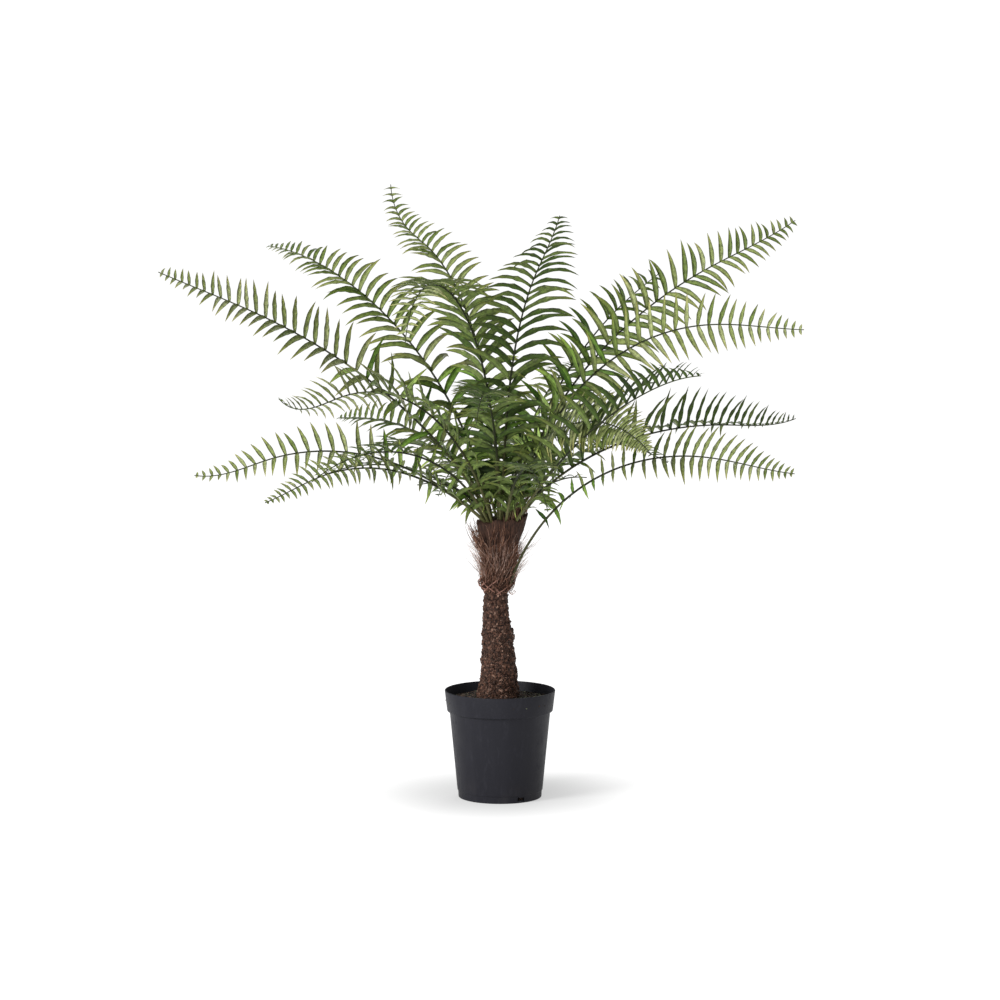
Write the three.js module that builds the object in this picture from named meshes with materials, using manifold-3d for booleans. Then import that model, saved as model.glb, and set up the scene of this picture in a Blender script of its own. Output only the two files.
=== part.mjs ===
// An artificial tree fern: 30 plastic fronds on a bark-covered pole, wrapped in coir at the crown
// and set in a filled nursery pot. Millimetres and degrees, +Z up, with the origin at the centre
// of the pot's underside and -Y towards the front.

import * as THREE from 'three';
import { mergeVertices } from 'three/addons/utils/BufferGeometryUtils.js';
import Module from 'manifold-3d';

const wasm = await Module();
wasm.setup();

// Driving dimensions
const GAP = 0.3; // clearance between pieces that rest against each other

const POT_SIDES = 40;
const POT_HEIGHT = 186;
const POT_WALL = 1.7;
const POT_FLOOR = 3.2;
const FOOT_RADIUS = 71.5; // recessed foot ring under the body
const FOOT_HEIGHT = 12;
const FOOT_ROUND = 2;
const FOOT_FLARE = 0.6; // how much wider the foot ring is at its top
const BODY_RADIUS_LOW = 73.3;
const BODY_RADIUS_HIGH = 86.6;
const BAND_BOTTOM = 150; // the rim band stands out from the body above this height
const BAND_RADIUS_LOW = 90.8;
const RIM_RADIUS = 95;
const LIP = 0.8; // bevel on the band's edges
const BAND_STEP = 3; // above and below the band's foot, where the inner face steps out
const DRAIN_SLOTS = 3;
const DRAIN_FIRST_BEARING = 60;
const DRAIN_DEPTH = 12;
const DRAIN_WIDTH = 12;
const DRAIN_HEIGHT = 5;

const FILL_TOP = 172;
const FILL_EDGE_DROP = 4;
const FILL_SLOPE_DROP = 1;
const FILL_SLOPE_RADIUS = 64;
const FILL_FLAT_RADIUS = 45;

const TRUNK_SIDES = 18;
const TRUNK_RELIEF = 1.3; // how far the glued bark grains stand out
const TRUNK_ROW = 9;
const CROWN_TOP = 482;
// The pole as [height, centre x, radius]: a flared foot, a slight lean and a narrow neck,
// then a bare core that runs up inside the coir to the crown.
const NECK = 352;
const TRUNK_PROFILE = [
  [FILL_TOP + GAP, -4, 37.5],
  [186, -3, 35],
  [203, -2.2, 32.6],
  [236, -2, 29.6],
  [277, -4.2, 27],
  [300, -6, 25.2],
  [320, -7.4, 22.8],
  [340, -7.8, 20.6],
  [NECK, -7, 19.4],
];
const CORE_PROFILE = [
  [NECK + 1, -7, 16],
  [400, -3, 17],
  [440, 0, 20],
  [CROWN_TOP, 4, 25],
];
// The coir wrap's outer face as [height, centre x, radius].
const SHEATH_PROFILE = [
  [NECK + 1 + GAP, -6, 20.5],
  [360, -5.8, 24.2],
  [372, -5, 27.2],
  [390, -3, 27.6],
  [407, -1.5, 28],
  [423, -1, 29.8],
  [440, -0.2, 35.2],
  [460, 2, 42.5],
  [CROWN_TOP, 4, 47],
];
const SHEATH_RELIEF = 1.2;
const SHEATH_ROW = 13;
const SHEATH_CLEARANCE = 0.4; // between the wrap and the core inside it
const FRAY_COUNT = 22;
const FRAY_SPREAD = 0.6; // how far a wisp strays towards the next one
const FRAY_HEIGHTS = [364, 446];
const FRAY_LEANS = [0.35, 0.62]; // radians
const FRAY_LENGTHS = [16, 31];
const FRAY_RADIUS = 1.6;
const FRAY_ROOT = 4; // how deep in the wrap a wisp starts
const FRAY_ROOT_DROP = 2;

// A frond: its stem starts on a ring of the crown, and leaflets stand on both sides of it.
const STEM_ROOT = 8; // sunk below the crown's top before the foot is cut clear of it
const STEM_HALF_WIDTH = 2.4;
const STEM_TIP_HALF_WIDTH = 0.7;
const STEM_CREASE = 0.4; // height of the stem's upper edges over its middle, to its half width
const STEM_STEPS = 60;
const STEM_TEST_STEPS = 24;
const STEM_FOOT_STEP = 15; // between the rows of the stem below its first leaflets
const CURL_START = 0.75; // the tip curls beyond this share of the stem
const ROLL_DONE = 0.3; // the blade has its full roll from this share on
const LEAF_PITCH = 40;
const LEAST_PAIRS = 9; // of leaflets, on a short frond
const LEAF_CROWDING = 0.42; // by how much leaflets stand closer together towards the tip
const LEAF_FIRST = 0.045; // the share of the stem below its first leaflets
const LEAF_LAST = 0.99;
const LEAF_GROWN = 0.2; // leaflets have their full length from this share on
const LEAF_LEAST = 0.8; // and this part of it at the stem's foot
const NECK_LEAF_FIRST = 0.13; // the same on the frond that leaves the wrap at the neck
const NECK_LEAF_GROWN = 0.66;
const NECK_LEAF_LEAST = 0.3;
const LEAF_LENGTH_SHARE = 0.115; // longest leaflet to stem length
const LEAF_TAPER_START = 0.38;
const LEAF_TAPER = 0.9;
const LEAF_TAPER_BEND = 2.3;
const LEAF_WIDTH_SHARE = 0.2;
const LEAF_BASE_WIDTH = 2.4;
const LEAF_THICKNESS_SHARE = 0.024;
const LEAF_BASE_THICKNESS = 0.5;
const LEAF_ANGLE = 80; // between a leaflet and a level stem
const LEAF_UPRIGHT = 38; // how much less on an upright one
const LEAF_TIP_LOSS = 10; // and at the tip
const MOST_FOLD = 36; // of a leaflet above the blade
const DROOP_LEVEL = 54; // how far a leaflet that lies level bends down over its length
const DROOP_EDGE = 16; // and one that stands on edge
const SWEEP_LEVEL = 4; // how far it bends towards the tip
const SWEEP_UPRIGHT = 78; // and how much less on an upright stem
const LEAF_MIDDLE = 0.42; // the leaflet's widest place, as a share of its length
const LEAF_INNER = 0.2; // where along the leaflet the bends of its inner part,
const LEAF_CENTRE = 0.5; // its middle
const LEAF_OUTER = 0.7; // and its outer part are taken
const ROOT_SHARE = 0.3; // how much of a leaflet's length its root runs along the stem
const ROOT_MOST = 12;
const ROOT_REACH = 0.28;
const TOUCH_MARGIN = 0.8; // slack round a leaflet when it is tested against its neighbours
const STEM_MARGIN = 0.6; // and round a stem
// Other ways to set a leaflet that would touch a neighbour, as [extra fold, share of its length].
const LEAF_SETTINGS = [[0, 1], [16, 1], [-18, 1], [0, 0.7], [16, 0.6], [-18, 0.6]];
const SHORTEST_LEAF = 9;

// Frond rows: name, heading from +X, ring radius, rise and end slope, bend exponent, stem
// length, swing of the heading, curl of the tip, roll of the blade about its stem, fold of the
// leaflets above the blade, how far apart they are, and how long.
const FRONDS = [
  ['frond_left_high', 187, 24, 70, 17, 0.6, 720, 1, 7, -44, 28, 1, 1],
  ['frond_left_back_high', 139, 24, 76, 10, 0.85, 735, -1, -7, -22, 26, 1, 1],
  ['frond_back_left_tall', 117, 10, 85, -12, 1.45, 740, 2, 95, -16, 30, 1.1, 0.84],
  ['frond_front_tall', 275, 10, 88, 23, 0.75, 700, 13, 25, 0, 12, 1.3, 1.3],
  ['frond_right_high', 20, 22, 84, 13, 0.7, 755, 1, 19, 55, 26, 1.05, 1],
  ['frond_right_arching', 342, 24, 76, -26, 1.3, 680, -1, 26, 72, 26, 1.08, 1],
  ['frond_right_front_mid', 306, 40, 46, 12, 1.1, 595, -2, -6, 0, 52, 1.15, 1.3],
  ['frond_right_back_low', 27, 36, 60, -14, 0.55, 590, 1, 31, -35, 44, 0.85, 1.2],
  ['frond_right_neck', 327, 30, 68, -26, 0.95, 620, 8, 23, 45, 26, 1, 1.05],
  ['frond_left_front_mid', 232, 30, 66, -35, 1.1, 675, 3, 75, -30, 28, 1.1, 0.95],
  ['frond_left_back_mid', 137, 34, 69, -12, 0.7, 415, 0, 9, -24, 36, 0.9, 1.5],
  ['frond_left_low', 191, 36, 43, -41, 1.25, 530, 0, 52, -38, 26, 1, 1],
  ['frond_left_front_low', 215, 38, 38, -39, 1.4, 475, 2, 25, -30, 26, 0.75, 0.95],
  ['frond_front_left_arching', 241, 14, 87, -46, 1.65, 740, 14, -26, 0, 20, 1, 1.15],
  ['frond_right_back_high', 48, 20, 74, 20, 0.85, 585, 0, 3, 38, 26, 1.1, 1.2],
  ['frond_front_right_low', 313, 27, 84, -36, 1, 430, 0, 0, 42, 16, 0.55, 1.6],
  ['frond_front_mid', 262, 24, 80, -30, 1.1, 520, 4, 0, 0, 26, 1, 1.15],
  ['frond_front_low', 280, 37, 54, -35, 1, 430, 0, 0, 0, 26, 1.2, 1.15],
  ['frond_front_left_low', 222, 34, 58, -30, 1, 440, 0, 0, 0, 26, 1.2, 1.15],
  ['frond_back_right_mid', 72, 22, 60, -2, 0.9, 520, 0, 0, 0, 26, 1, 1],
  ['frond_back_mid', 97, 26, 52, -12, 0.9, 560, 0, 10, 0, 26, 1, 1],
  ['frond_left_back_low', 158, 34, 50, -28, 0.9, 350, 0, 0, 0, 26, 1, 1.1],
  ['frond_back_right_low', 52, 38, 44, -32, 1, 480, 0, 10, 0, 26, 1, 1.1],
  ['frond_back_low', 82, 38, 42, -34, 1, 480, 0, 0, 0, 26, 1, 1.1],
  ['frond_back_left_low', 122, 38, 44, -32, 1, 480, 0, 10, 0, 26, 1, 1.1],
  ['frond_back_bottom', 105, 40, 36, -40, 1, 440, 0, 0, 0, 26, 1, 1.1],
  ['frond_crown_front', 284, 30, 74, -14, 1, 230, 0, 0, 0, 24, 1.1, 2.1],
  ['frond_crown_left', 203, 34, 68, -12, 1, 150, 0, 0, 0, 24, 1.1, 2.1],
  ['frond_crown_right', 332, 34, 68, -4, 1, 160, 0, 0, 0, 24, 1.1, 2.1],
  ['frond_crown_back', 112, 29, 58, -30, 1, 240, 0, 0, 0, 24, 1.1, 2.1],
];
const NECK_FROND = 'frond_right_neck';
const NECK_FROND_HEIGHT = 383;

const fern = new THREE.Group();

function addPart(name, geometry, material) {
  const mesh = new THREE.Mesh(geometry, material);
  mesh.name = name;
  fern.add(mesh);
}

// Meshes and solids

function closedGeometry(points, faces) {
  const geometry = new THREE.BufferGeometry();
  const coordinates = points.flatMap((point) => point.toArray());
  geometry.setAttribute('position', new THREE.Float32BufferAttribute(coordinates, 3));
  geometry.setIndex(faces.flat());
  return geometry;
}

function solidOf(geometry) {
  geometry.deleteAttribute('normal');
  geometry.deleteAttribute('uv');
  const merged = mergeVertices(geometry, 1e-4);
  return new wasm.Manifold(new wasm.Mesh({
    numProp: 3,
    vertProperties: merged.attributes.position.array,
    triVerts: Uint32Array.from(merged.index.array),
  }));
}

function geometryOf(solid) {
  const mesh = solid.getMesh();
  const geometry = new THREE.BufferGeometry();
  geometry.setAttribute('position', new THREE.BufferAttribute(mesh.vertProperties, 3));
  geometry.setIndex(new THREE.BufferAttribute(mesh.triVerts, 1));
  return geometry;
}

// A lathe about +Z from [radius, height] points that start and end on the axis.
function turned(profile, sides) {
  const geometry = new THREE.LatheGeometry(profile.map(([r, z]) => new THREE.Vector2(r, z)), sides);
  geometry.rotateX(Math.PI / 2);
  return solidOf(geometry);
}

// The same bumps on every build: a number from 0 to 1 for each pair of whole numbers.
function grain(i, j) {
  const wave = Math.sin(i * 127.1 + j * 311.7) * 43758.5453;
  return wave - Math.floor(wave);
}

function profileAt(profile, z) {
  let next = profile.findIndex((row) => row[0] >= z);
  if (next < 1) next = next < 0 ? profile.length - 1 : 1;
  const [z0, x0, r0] = profile[next - 1];
  const [z1, x1, r1] = profile[next];
  const share = (z - z0) / (z1 - z0);
  return { x: THREE.MathUtils.lerp(x0, x1, share), radius: THREE.MathUtils.lerp(r0, r1, share) };
}

// A ring of points at height z, with its radius changed by relief(side).
function ringAt(profile, z, sides, relief) {
  const { x, radius } = profileAt(profile, z);
  return Array.from({ length: sides }, (_, side) => {
    const angle = (2 * Math.PI * side) / sides;
    const r = radius + relief(side);
    return new THREE.Vector3(x + r * Math.cos(angle), r * Math.sin(angle), z);
  });
}

// Joins rings of equal length in order, from the lowest up, and caps both ends. Without caps the
// last ring joins back to the first, which makes the skin of a hollow wall.
function lofted(rings, capped) {
  const sides = rings[0].length;
  const points = rings.flat();
  const faces = [];
  const rows = capped ? rings.length - 1 : rings.length;
  for (let row = 0; row < rows; row += 1) {
    for (let side = 0; side < sides; side += 1) {
      const next = (side + 1) % sides;
      const low = row * sides;
      const high = ((row + 1) % rings.length) * sides;
      faces.push([low + side, low + next, high + next], [low + side, high + next, high + side]);
    }
  }
  if (capped) {
    const middle = (ring) => ring.reduce((sum, p) => sum.add(p), new THREE.Vector3()).divideScalar(sides);
    points.push(middle(rings[0]), middle(rings[rings.length - 1]));
    const top = (rings.length - 1) * sides;
    for (let side = 0; side < sides; side += 1) {
      const next = (side + 1) % sides;
      faces.push([points.length - 2, next, side], [points.length - 1, top + side, top + next]);
    }
  }
  return solidOf(closedGeometry(points, faces));
}

// Pot and fill

function bodyRadius(z) {
  return THREE.MathUtils.mapLinear(z, FOOT_HEIGHT, BAND_BOTTOM, BODY_RADIUS_LOW, BODY_RADIUS_HIGH);
}

function bandRadius(z) {
  return THREE.MathUtils.mapLinear(z, BAND_BOTTOM, POT_HEIGHT, BAND_RADIUS_LOW, RIM_RADIUS);
}

const innerLow = FOOT_RADIUS - POT_WALL;
const innerBody = bodyRadius(BAND_BOTTOM - BAND_STEP) - POT_WALL;
const innerBand = bandRadius(BAND_BOTTOM + BAND_STEP) - POT_WALL;

function makePot() {
  const shell = turned([
    [0, 0],
    [FOOT_RADIUS - FOOT_ROUND, 0],
    [FOOT_RADIUS, FOOT_ROUND],
    [FOOT_RADIUS + FOOT_FLARE, FOOT_HEIGHT],
    [BODY_RADIUS_LOW, FOOT_HEIGHT + 1],
    [bodyRadius(BAND_BOTTOM - 1), BAND_BOTTOM - 1],
    [BAND_RADIUS_LOW - LIP, BAND_BOTTOM],
    [bandRadius(BAND_BOTTOM + LIP), BAND_BOTTOM + LIP],
    [RIM_RADIUS, POT_HEIGHT - LIP],
    [RIM_RADIUS - LIP, POT_HEIGHT],
    [RIM_RADIUS - POT_WALL, POT_HEIGHT],
    [innerBand, BAND_BOTTOM + BAND_STEP],
    [innerBody, BAND_BOTTOM - BAND_STEP],
    [innerLow, FOOT_HEIGHT],
    [innerLow - 1, POT_FLOOR],
    [0, POT_FLOOR],
  ], POT_SIDES);
  let pot = shell;
  for (let slot = 0; slot < DRAIN_SLOTS; slot += 1) {
    const cutter = new THREE.BoxGeometry(DRAIN_DEPTH, DRAIN_WIDTH, DRAIN_HEIGHT);
    cutter.translate(FOOT_RADIUS, 0, POT_FLOOR + 1 + DRAIN_HEIGHT / 2);
    cutter.rotateZ(THREE.MathUtils.degToRad(DRAIN_FIRST_BEARING + (360 * slot) / DRAIN_SLOTS));
    pot = pot.subtract(solidOf(cutter));
  }
  return pot;
}

function makeFill() {
  const edge = bandRadius(FILL_TOP - FILL_EDGE_DROP) - POT_WALL - GAP;
  return turned([
    [0, POT_FLOOR + GAP],
    [innerLow - 1 - GAP, POT_FLOOR + GAP],
    [innerLow - GAP, FOOT_HEIGHT],
    [innerBody - GAP, BAND_BOTTOM - BAND_STEP],
    [innerBand - GAP, BAND_BOTTOM + BAND_STEP],
    [edge, FILL_TOP - FILL_EDGE_DROP],
    [FILL_SLOPE_RADIUS, FILL_TOP - FILL_SLOPE_DROP],
    [FILL_FLAT_RADIUS, FILL_TOP],
    [0, FILL_TOP],
  ], POT_SIDES);
}

// Trunk and its coir sheath

function heights(profile, step) {
  const levels = [];
  const top = profile[profile.length - 1][0];
  for (let z = profile[0][0]; z < top - step / 2; z += step) levels.push(z);
  levels.push(top);
  return levels;
}

function makeTrunk() {
  const relief = (row) => (side) => TRUNK_RELIEF * (2 * grain(row, side) - 1);
  const bark = heights(TRUNK_PROFILE, TRUNK_ROW).map((z, row) =>
    ringAt(TRUNK_PROFILE, z, TRUNK_SIDES, relief(row)));
  const core = CORE_PROFILE.map(([z]) => ringAt(CORE_PROFILE, z, TRUNK_SIDES, () => 0));
  return lofted([...bark, ...core], true);
}

// The wrap's outer face, moved out by extra and roughened where the fibres bunch.
function sheathRings(extra) {
  const relief = (row) => (side) => extra + SHEATH_RELIEF * (2 * grain(side, row) - 1);
  return heights(SHEATH_PROFILE, SHEATH_ROW).map((z, row) =>
    ringAt(SHEATH_PROFILE, z, TRUNK_SIDES, relief(row)));
}

function makeSheath() {
  const outside = sheathRings(0);
  const inside = [...CORE_PROFILE].reverse().map(([z]) =>
    ringAt(CORE_PROFILE, z, TRUNK_SIDES, () => SHEATH_CLEARANCE));
  inside[inside.length - 1].forEach((point) => {
    point.z = outside[0][0].z;
  });
  let sheath = lofted([...outside, ...inside], false);
  for (let tuft = 0; tuft < FRAY_COUNT; tuft += 1) {
    sheath = sheath.add(frayedTuft(tuft));
  }
  return sheath;
}

// A stiff wisp of coir that leaves the wrap and points up and out.
function frayedTuft(tuft) {
  const bearing = (2 * Math.PI * (tuft + FRAY_SPREAD * grain(tuft, 1))) / FRAY_COUNT;
  const z = THREE.MathUtils.lerp(...FRAY_HEIGHTS, grain(tuft, 2));
  const lean = THREE.MathUtils.lerp(...FRAY_LEANS, grain(tuft, 3));
  const length = THREE.MathUtils.lerp(...FRAY_LENGTHS, grain(tuft, 4));
  const { x, radius } = profileAt(SHEATH_PROFILE, z);
  const wisp = new THREE.ConeGeometry(FRAY_RADIUS, length, 4);
  wisp.rotateX(Math.PI / 2);
  wisp.translate(0, 0, length / 2);
  wisp.rotateY(lean);
  wisp.translate(radius - FRAY_ROOT, 0, z - FRAY_ROOT_DROP);
  wisp.rotateZ(bearing);
  wisp.translate(x, 0, 0);
  return solidOf(wisp);
}

// Fronds

function stemSlope(frond, share) {
  const tip = Math.max(0, (share - CURL_START) / (1 - CURL_START));
  const bent = (frond.end - frond.rise) * Math.max(0, share) ** frond.bend;
  return frond.rise + bent + frond.curl * tip * tip;
}

function stemDirection(frond, share) {
  const slope = THREE.MathUtils.degToRad(stemSlope(frond, share));
  const heading = THREE.MathUtils.degToRad(frond.heading + frond.swing * share);
  return new THREE.Vector3(
    Math.cos(slope) * Math.cos(heading),
    Math.cos(slope) * Math.sin(heading),
    Math.sin(slope),
  );
}

function makeFrond(row) {
  const [name, heading, ring, rise, end, bend, length, swing, curl, roll, fold, apart, leaf] = row;
  const frond = { name, heading, rise, end, bend, length, swing, curl, roll, fold, apart, leaf };
  const z = name === NECK_FROND ? NECK_FROND_HEIGHT : CROWN_TOP;
  frond.first = name === NECK_FROND ? NECK_LEAF_FIRST : LEAF_FIRST;
  frond.grown = name === NECK_FROND ? NECK_LEAF_GROWN : LEAF_GROWN;
  frond.least = name === NECK_FROND ? NECK_LEAF_LEAST : LEAF_LEAST;
  const { x } = profileAt(SHEATH_PROFILE, z);
  const bearing = THREE.MathUtils.degToRad(heading);
  const point = new THREE.Vector3(x + ring * Math.cos(bearing), ring * Math.sin(bearing), z);
  frond.path = [point.clone()];
  for (let step = 0; step < STEM_STEPS; step += 1) {
    point.addScaledVector(stemDirection(frond, (step + 0.5) / STEM_STEPS), length / STEM_STEPS);
    frond.path.push(point.clone());
  }
  return frond;
}

// The stem's place at a share of its length, with its direction, its left side and its top.
function stemFrame(frond, share) {
  const forward = stemDirection(frond, share);
  const left = new THREE.Vector3(0, 0, 1).cross(forward).normalize();
  const turn = THREE.MathUtils.degToRad(frond.roll) * THREE.MathUtils.clamp(share / ROLL_DONE, 0, 1);
  left.applyAxisAngle(forward, turn);
  const up = forward.clone().cross(left);
  const place = share * STEM_STEPS;
  const step = THREE.MathUtils.clamp(Math.floor(place), 0, STEM_STEPS - 1);
  const point = frond.path[step].clone().lerp(frond.path[step + 1], place - step);
  return { point, forward, left, up };
}

function offset(frame, forward, left, up) {
  return frame.point.clone()
    .addScaledVector(frame.forward, forward)
    .addScaledVector(frame.left, left)
    .addScaledVector(frame.up, up);
}

function stemHalfWidth(share) {
  return THREE.MathUtils.lerp(STEM_HALF_WIDTH, STEM_TIP_HALF_WIDTH, Math.max(0, share));
}

// Three corners of the stem: left and right edges above, and the keel below. reach is how far a
// leaflet's root runs along the stem, which splits each edge into a rear and a front corner.
function stemCorners(frond, share, reach, half = stemHalfWidth(share)) {
  const frame = stemFrame(frond, share);
  return {
    leftRear: offset(frame, -reach, half, half * STEM_CREASE),
    leftFront: offset(frame, reach, half, half * STEM_CREASE),
    rightRear: offset(frame, -reach, -half, half * STEM_CREASE),
    rightFront: offset(frame, reach, -half, half * STEM_CREASE),
    keel: offset(frame, 0, 0, -half),
  };
}

function leafLength(frond, share) {
  const longest = frond.length * LEAF_LENGTH_SHARE * frond.leaf;
  const grown = THREE.MathUtils.clamp((share - frond.first) / (frond.grown - frond.first), 0, 1);
  const swell = THREE.MathUtils.lerp(frond.least, 1, grown * grown);
  const outer = Math.max(0, (share - LEAF_TAPER_START) / (1 - LEAF_TAPER_START));
  return longest * swell * (1 - LEAF_TAPER * outer ** LEAF_TAPER_BEND);
}

// A direction between a frame's forward, side and up axes, from two angles in degrees.
function aimed(frame, side, angle, fold) {
  const turn = THREE.MathUtils.degToRad(angle);
  const lift = THREE.MathUtils.degToRad(fold);
  return new THREE.Vector3()
    .addScaledVector(frame.forward, Math.cos(turn) * Math.cos(lift))
    .addScaledVector(frame.left, side * Math.sin(turn) * Math.cos(lift))
    .addScaledVector(frame.up, Math.sin(lift));
}

// A leaflet's middle and tip beyond its root, on one side (+1 left, -1 right) of the stem.
function leafPoints(frond, share, side, [extraFold, lengthShare]) {
  const frame = stemFrame(frond, share);
  const length = leafLength(frond, share) * lengthShare;
  const width = LEAF_WIDTH_SHARE * length + LEAF_BASE_WIDTH;
  const upright = frame.forward.z;
  const angle = LEAF_ANGLE - LEAF_UPRIGHT * Math.max(0, upright) - LEAF_TIP_LOSS * share * share;
  const fold = Math.min(MOST_FOLD, frond.fold + extraFold);
  const level = aimed(frame, side, angle, fold + 90).z;
  const droop = THREE.MathUtils.lerp(DROOP_EDGE, DROOP_LEVEL, Math.abs(level));
  const sweep = SWEEP_LEVEL - SWEEP_UPRIGHT * upright;
  const alongLeaf = (t) => aimed(frame, side, angle - sweep * t, fold - droop * t);
  const middle = frame.point.clone().addScaledVector(alongLeaf(LEAF_INNER), length * LEAF_MIDDLE);
  const tip = middle.clone().addScaledVector(alongLeaf(LEAF_OUTER), length * (1 - LEAF_MIDDLE));
  const across = alongLeaf(LEAF_CENTRE).cross(frame.up).multiplyScalar(side).normalize();
  const thickness = LEAF_THICKNESS_SHARE * length + LEAF_BASE_THICKNESS;
  return {
    front: middle.clone().addScaledVector(across, width / 2),
    rear: middle.clone().addScaledVector(across, -width / 2),
    keel: middle.clone().addScaledVector(frame.up, -thickness),
    tip,
  };
}

// Faces of a tube that grows from the loop of three corners through a second loop to a tip.
function leafFaces(root, loop, tip) {
  const faces = [];
  for (let i = 0; i < 3; i += 1) {
    const j = (i + 1) % 3;
    faces.push([root[i], root[j], loop[j]]);
    faces.push([root[i], loop[j], loop[i]]);
    faces.push([loop[i], loop[j], tip]);
  }
  return faces;
}

// A leaflet alone, a little larger than it is built, to see what it would touch.
function testLeaf(frond, share, side, setting, reach) {
  const corners = stemCorners(frond, share, reach);
  const leaf = leafPoints(frond, share, side, setting);
  const root = side > 0
    ? [corners.leftRear, corners.leftFront, corners.keel]
    : [corners.rightFront, corners.rightRear, corners.keel];
  const loop = side > 0 ? [leaf.rear, leaf.front, leaf.keel] : [leaf.front, leaf.rear, leaf.keel];
  const middle = new THREE.Vector3().add(loop[0]).add(loop[1]).add(loop[2]).divideScalar(3);
  loop.forEach((corner) => corner.add(corner.clone().sub(middle).setLength(TOUCH_MARGIN)));
  leaf.tip.add(leaf.tip.clone().sub(middle).setLength(TOUCH_MARGIN));
  loop[2].addScaledVector(stemFrame(frond, share).up, -TOUCH_MARGIN);
  const faces = [[0, 2, 1], ...leafFaces([0, 1, 2], [3, 4, 5], 6)];
  return solidOf(closedGeometry([...root, ...loop, leaf.tip], faces));
}

function leafStations(frond) {
  const pitch = Math.min(LEAF_PITCH, frond.length / LEAST_PAIRS) * frond.apart;
  const count = Math.round((frond.length * (1 - frond.first)) / pitch);
  return Array.from({ length: count }, (_, i) => {
    const even = i / (count - 1);
    const place = even + LEAF_CROWDING * even * (1 - even);
    return THREE.MathUtils.lerp(frond.first, LEAF_LAST, place);
  });
}

// The leafless stem, thickened by a margin to test leaflets against it.
function bareStem(frond, margin) {
  const points = [];
  const faces = [];
  for (let row = 0; row <= STEM_TEST_STEPS; row += 1) {
    const share = row === 0 ? -STEM_ROOT / frond.length : row / STEM_TEST_STEPS;
    const corners = stemCorners(frond, share, 0, stemHalfWidth(share) + margin);
    points.push(corners.leftRear, corners.keel, corners.rightRear);
    const high = row * 3;
    const low = high - 3;
    for (let i = 0; i < 3 && row > 0; i += 1) {
      const j = (i + 1) % 3;
      faces.push([low + i, high + j, low + j], [low + i, high + i, high + j]);
    }
  }
  const last = points.length - 3;
  faces.push([0, 1, 2], [last, last + 2, last + 1]);
  return solidOf(closedGeometry(points, faces));
}

function boxOf(solid) {
  const { min, max } = solid.boundingBox();
  return new THREE.Box3(new THREE.Vector3(...min), new THREE.Vector3(...max));
}

// Whether a leaflet of one frond meets anything but that frond's own stem.
function touches(solid, box, others, frond) {
  return others.some((other) =>
    other.stemOf !== frond && other.box.intersectsBox(box) && !other.solid.intersect(solid).isEmpty());
}

// Chooses how each leaflet stands, or leaves it out where every setting would touch something.
function settleLeaves(frond, occupied) {
  return leafStations(frond).map((share) => {
    const reach = ROOT_REACH * Math.min(ROOT_MOST, leafLength(frond, share) * ROOT_SHARE);
    const setting = {};
    for (const side of [1, -1]) {
      for (const candidate of LEAF_SETTINGS) {
        if (leafLength(frond, share) * candidate[1] < SHORTEST_LEAF) break;
        const solid = testLeaf(frond, share, side, candidate, reach);
        const box = boxOf(solid);
        if (!touches(solid, box, occupied, frond)) {
          setting[side] = candidate;
          occupied.push({ box, solid });
          break;
        }
      }
    }
    return { share, reach, left: setting[1], right: setting[-1] };
  });
}

// One closed skin over the stem and its leaflets.
function frondGeometry(frond, stations) {
  const points = [];
  const faces = [];
  const add = (point) => points.push(point) - 1;
  const addRow = (share, reach) => {
    const corners = stemCorners(frond, share, reach);
    const row = { keel: add(corners.keel) };
    row.leftRear = add(corners.leftRear);
    row.rightRear = add(corners.rightRear);
    row.leftFront = reach > 0 ? add(corners.leftFront) : row.leftRear;
    row.rightFront = reach > 0 ? add(corners.rightFront) : row.rightRear;
    return row;
  };
  const quad = (a, b, c, d) => faces.push([a, b, c], [a, c, d]);
  const addLeaf = (root, leaf, side) => {
    const edges = side > 0 ? [leaf.rear, leaf.front] : [leaf.front, leaf.rear];
    const loop = [...edges, leaf.keel].map(add);
    faces.push(...leafFaces(root, loop, add(leaf.tip)));
  };

  const first = addRow(-STEM_ROOT / frond.length, 0);
  faces.push([first.leftFront, first.keel, first.rightFront]);
  let last = first;
  const rows = [...stations];
  const bareTo = frond.first * frond.length - ROOT_MOST;
  for (let along = bareTo; along > 0; along -= STEM_FOOT_STEP) {
    rows.unshift({ share: along / frond.length, reach: 0 });
  }
  for (const station of rows) {
    const row = addRow(station.share, station.reach);
    quad(last.leftFront, last.rightFront, row.rightRear, row.leftRear);
    quad(last.leftFront, row.leftRear, row.keel, last.keel);
    quad(last.rightFront, last.keel, row.keel, row.rightRear);
    if (station.reach > 0) {
      quad(row.leftRear, row.rightRear, row.rightFront, row.leftFront);
      const leftRoot = [row.leftRear, row.leftFront, row.keel];
      const rightRoot = [row.rightFront, row.rightRear, row.keel];
      if (station.left) addLeaf(leftRoot, leafPoints(frond, station.share, 1, station.left), 1);
      else faces.push(leftRoot);
      if (station.right) addLeaf(rightRoot, leafPoints(frond, station.share, -1, station.right), -1);
      else faces.push(rightRoot);
    }
    last = row;
  }
  const tip = add(stemFrame(frond, 1).point);
  faces.push([last.leftFront, last.rightFront, tip], [last.leftFront, tip, last.keel]);
  faces.push([last.rightFront, last.keel, tip]);
  return closedGeometry(points, faces);
}

// Assembly

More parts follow.
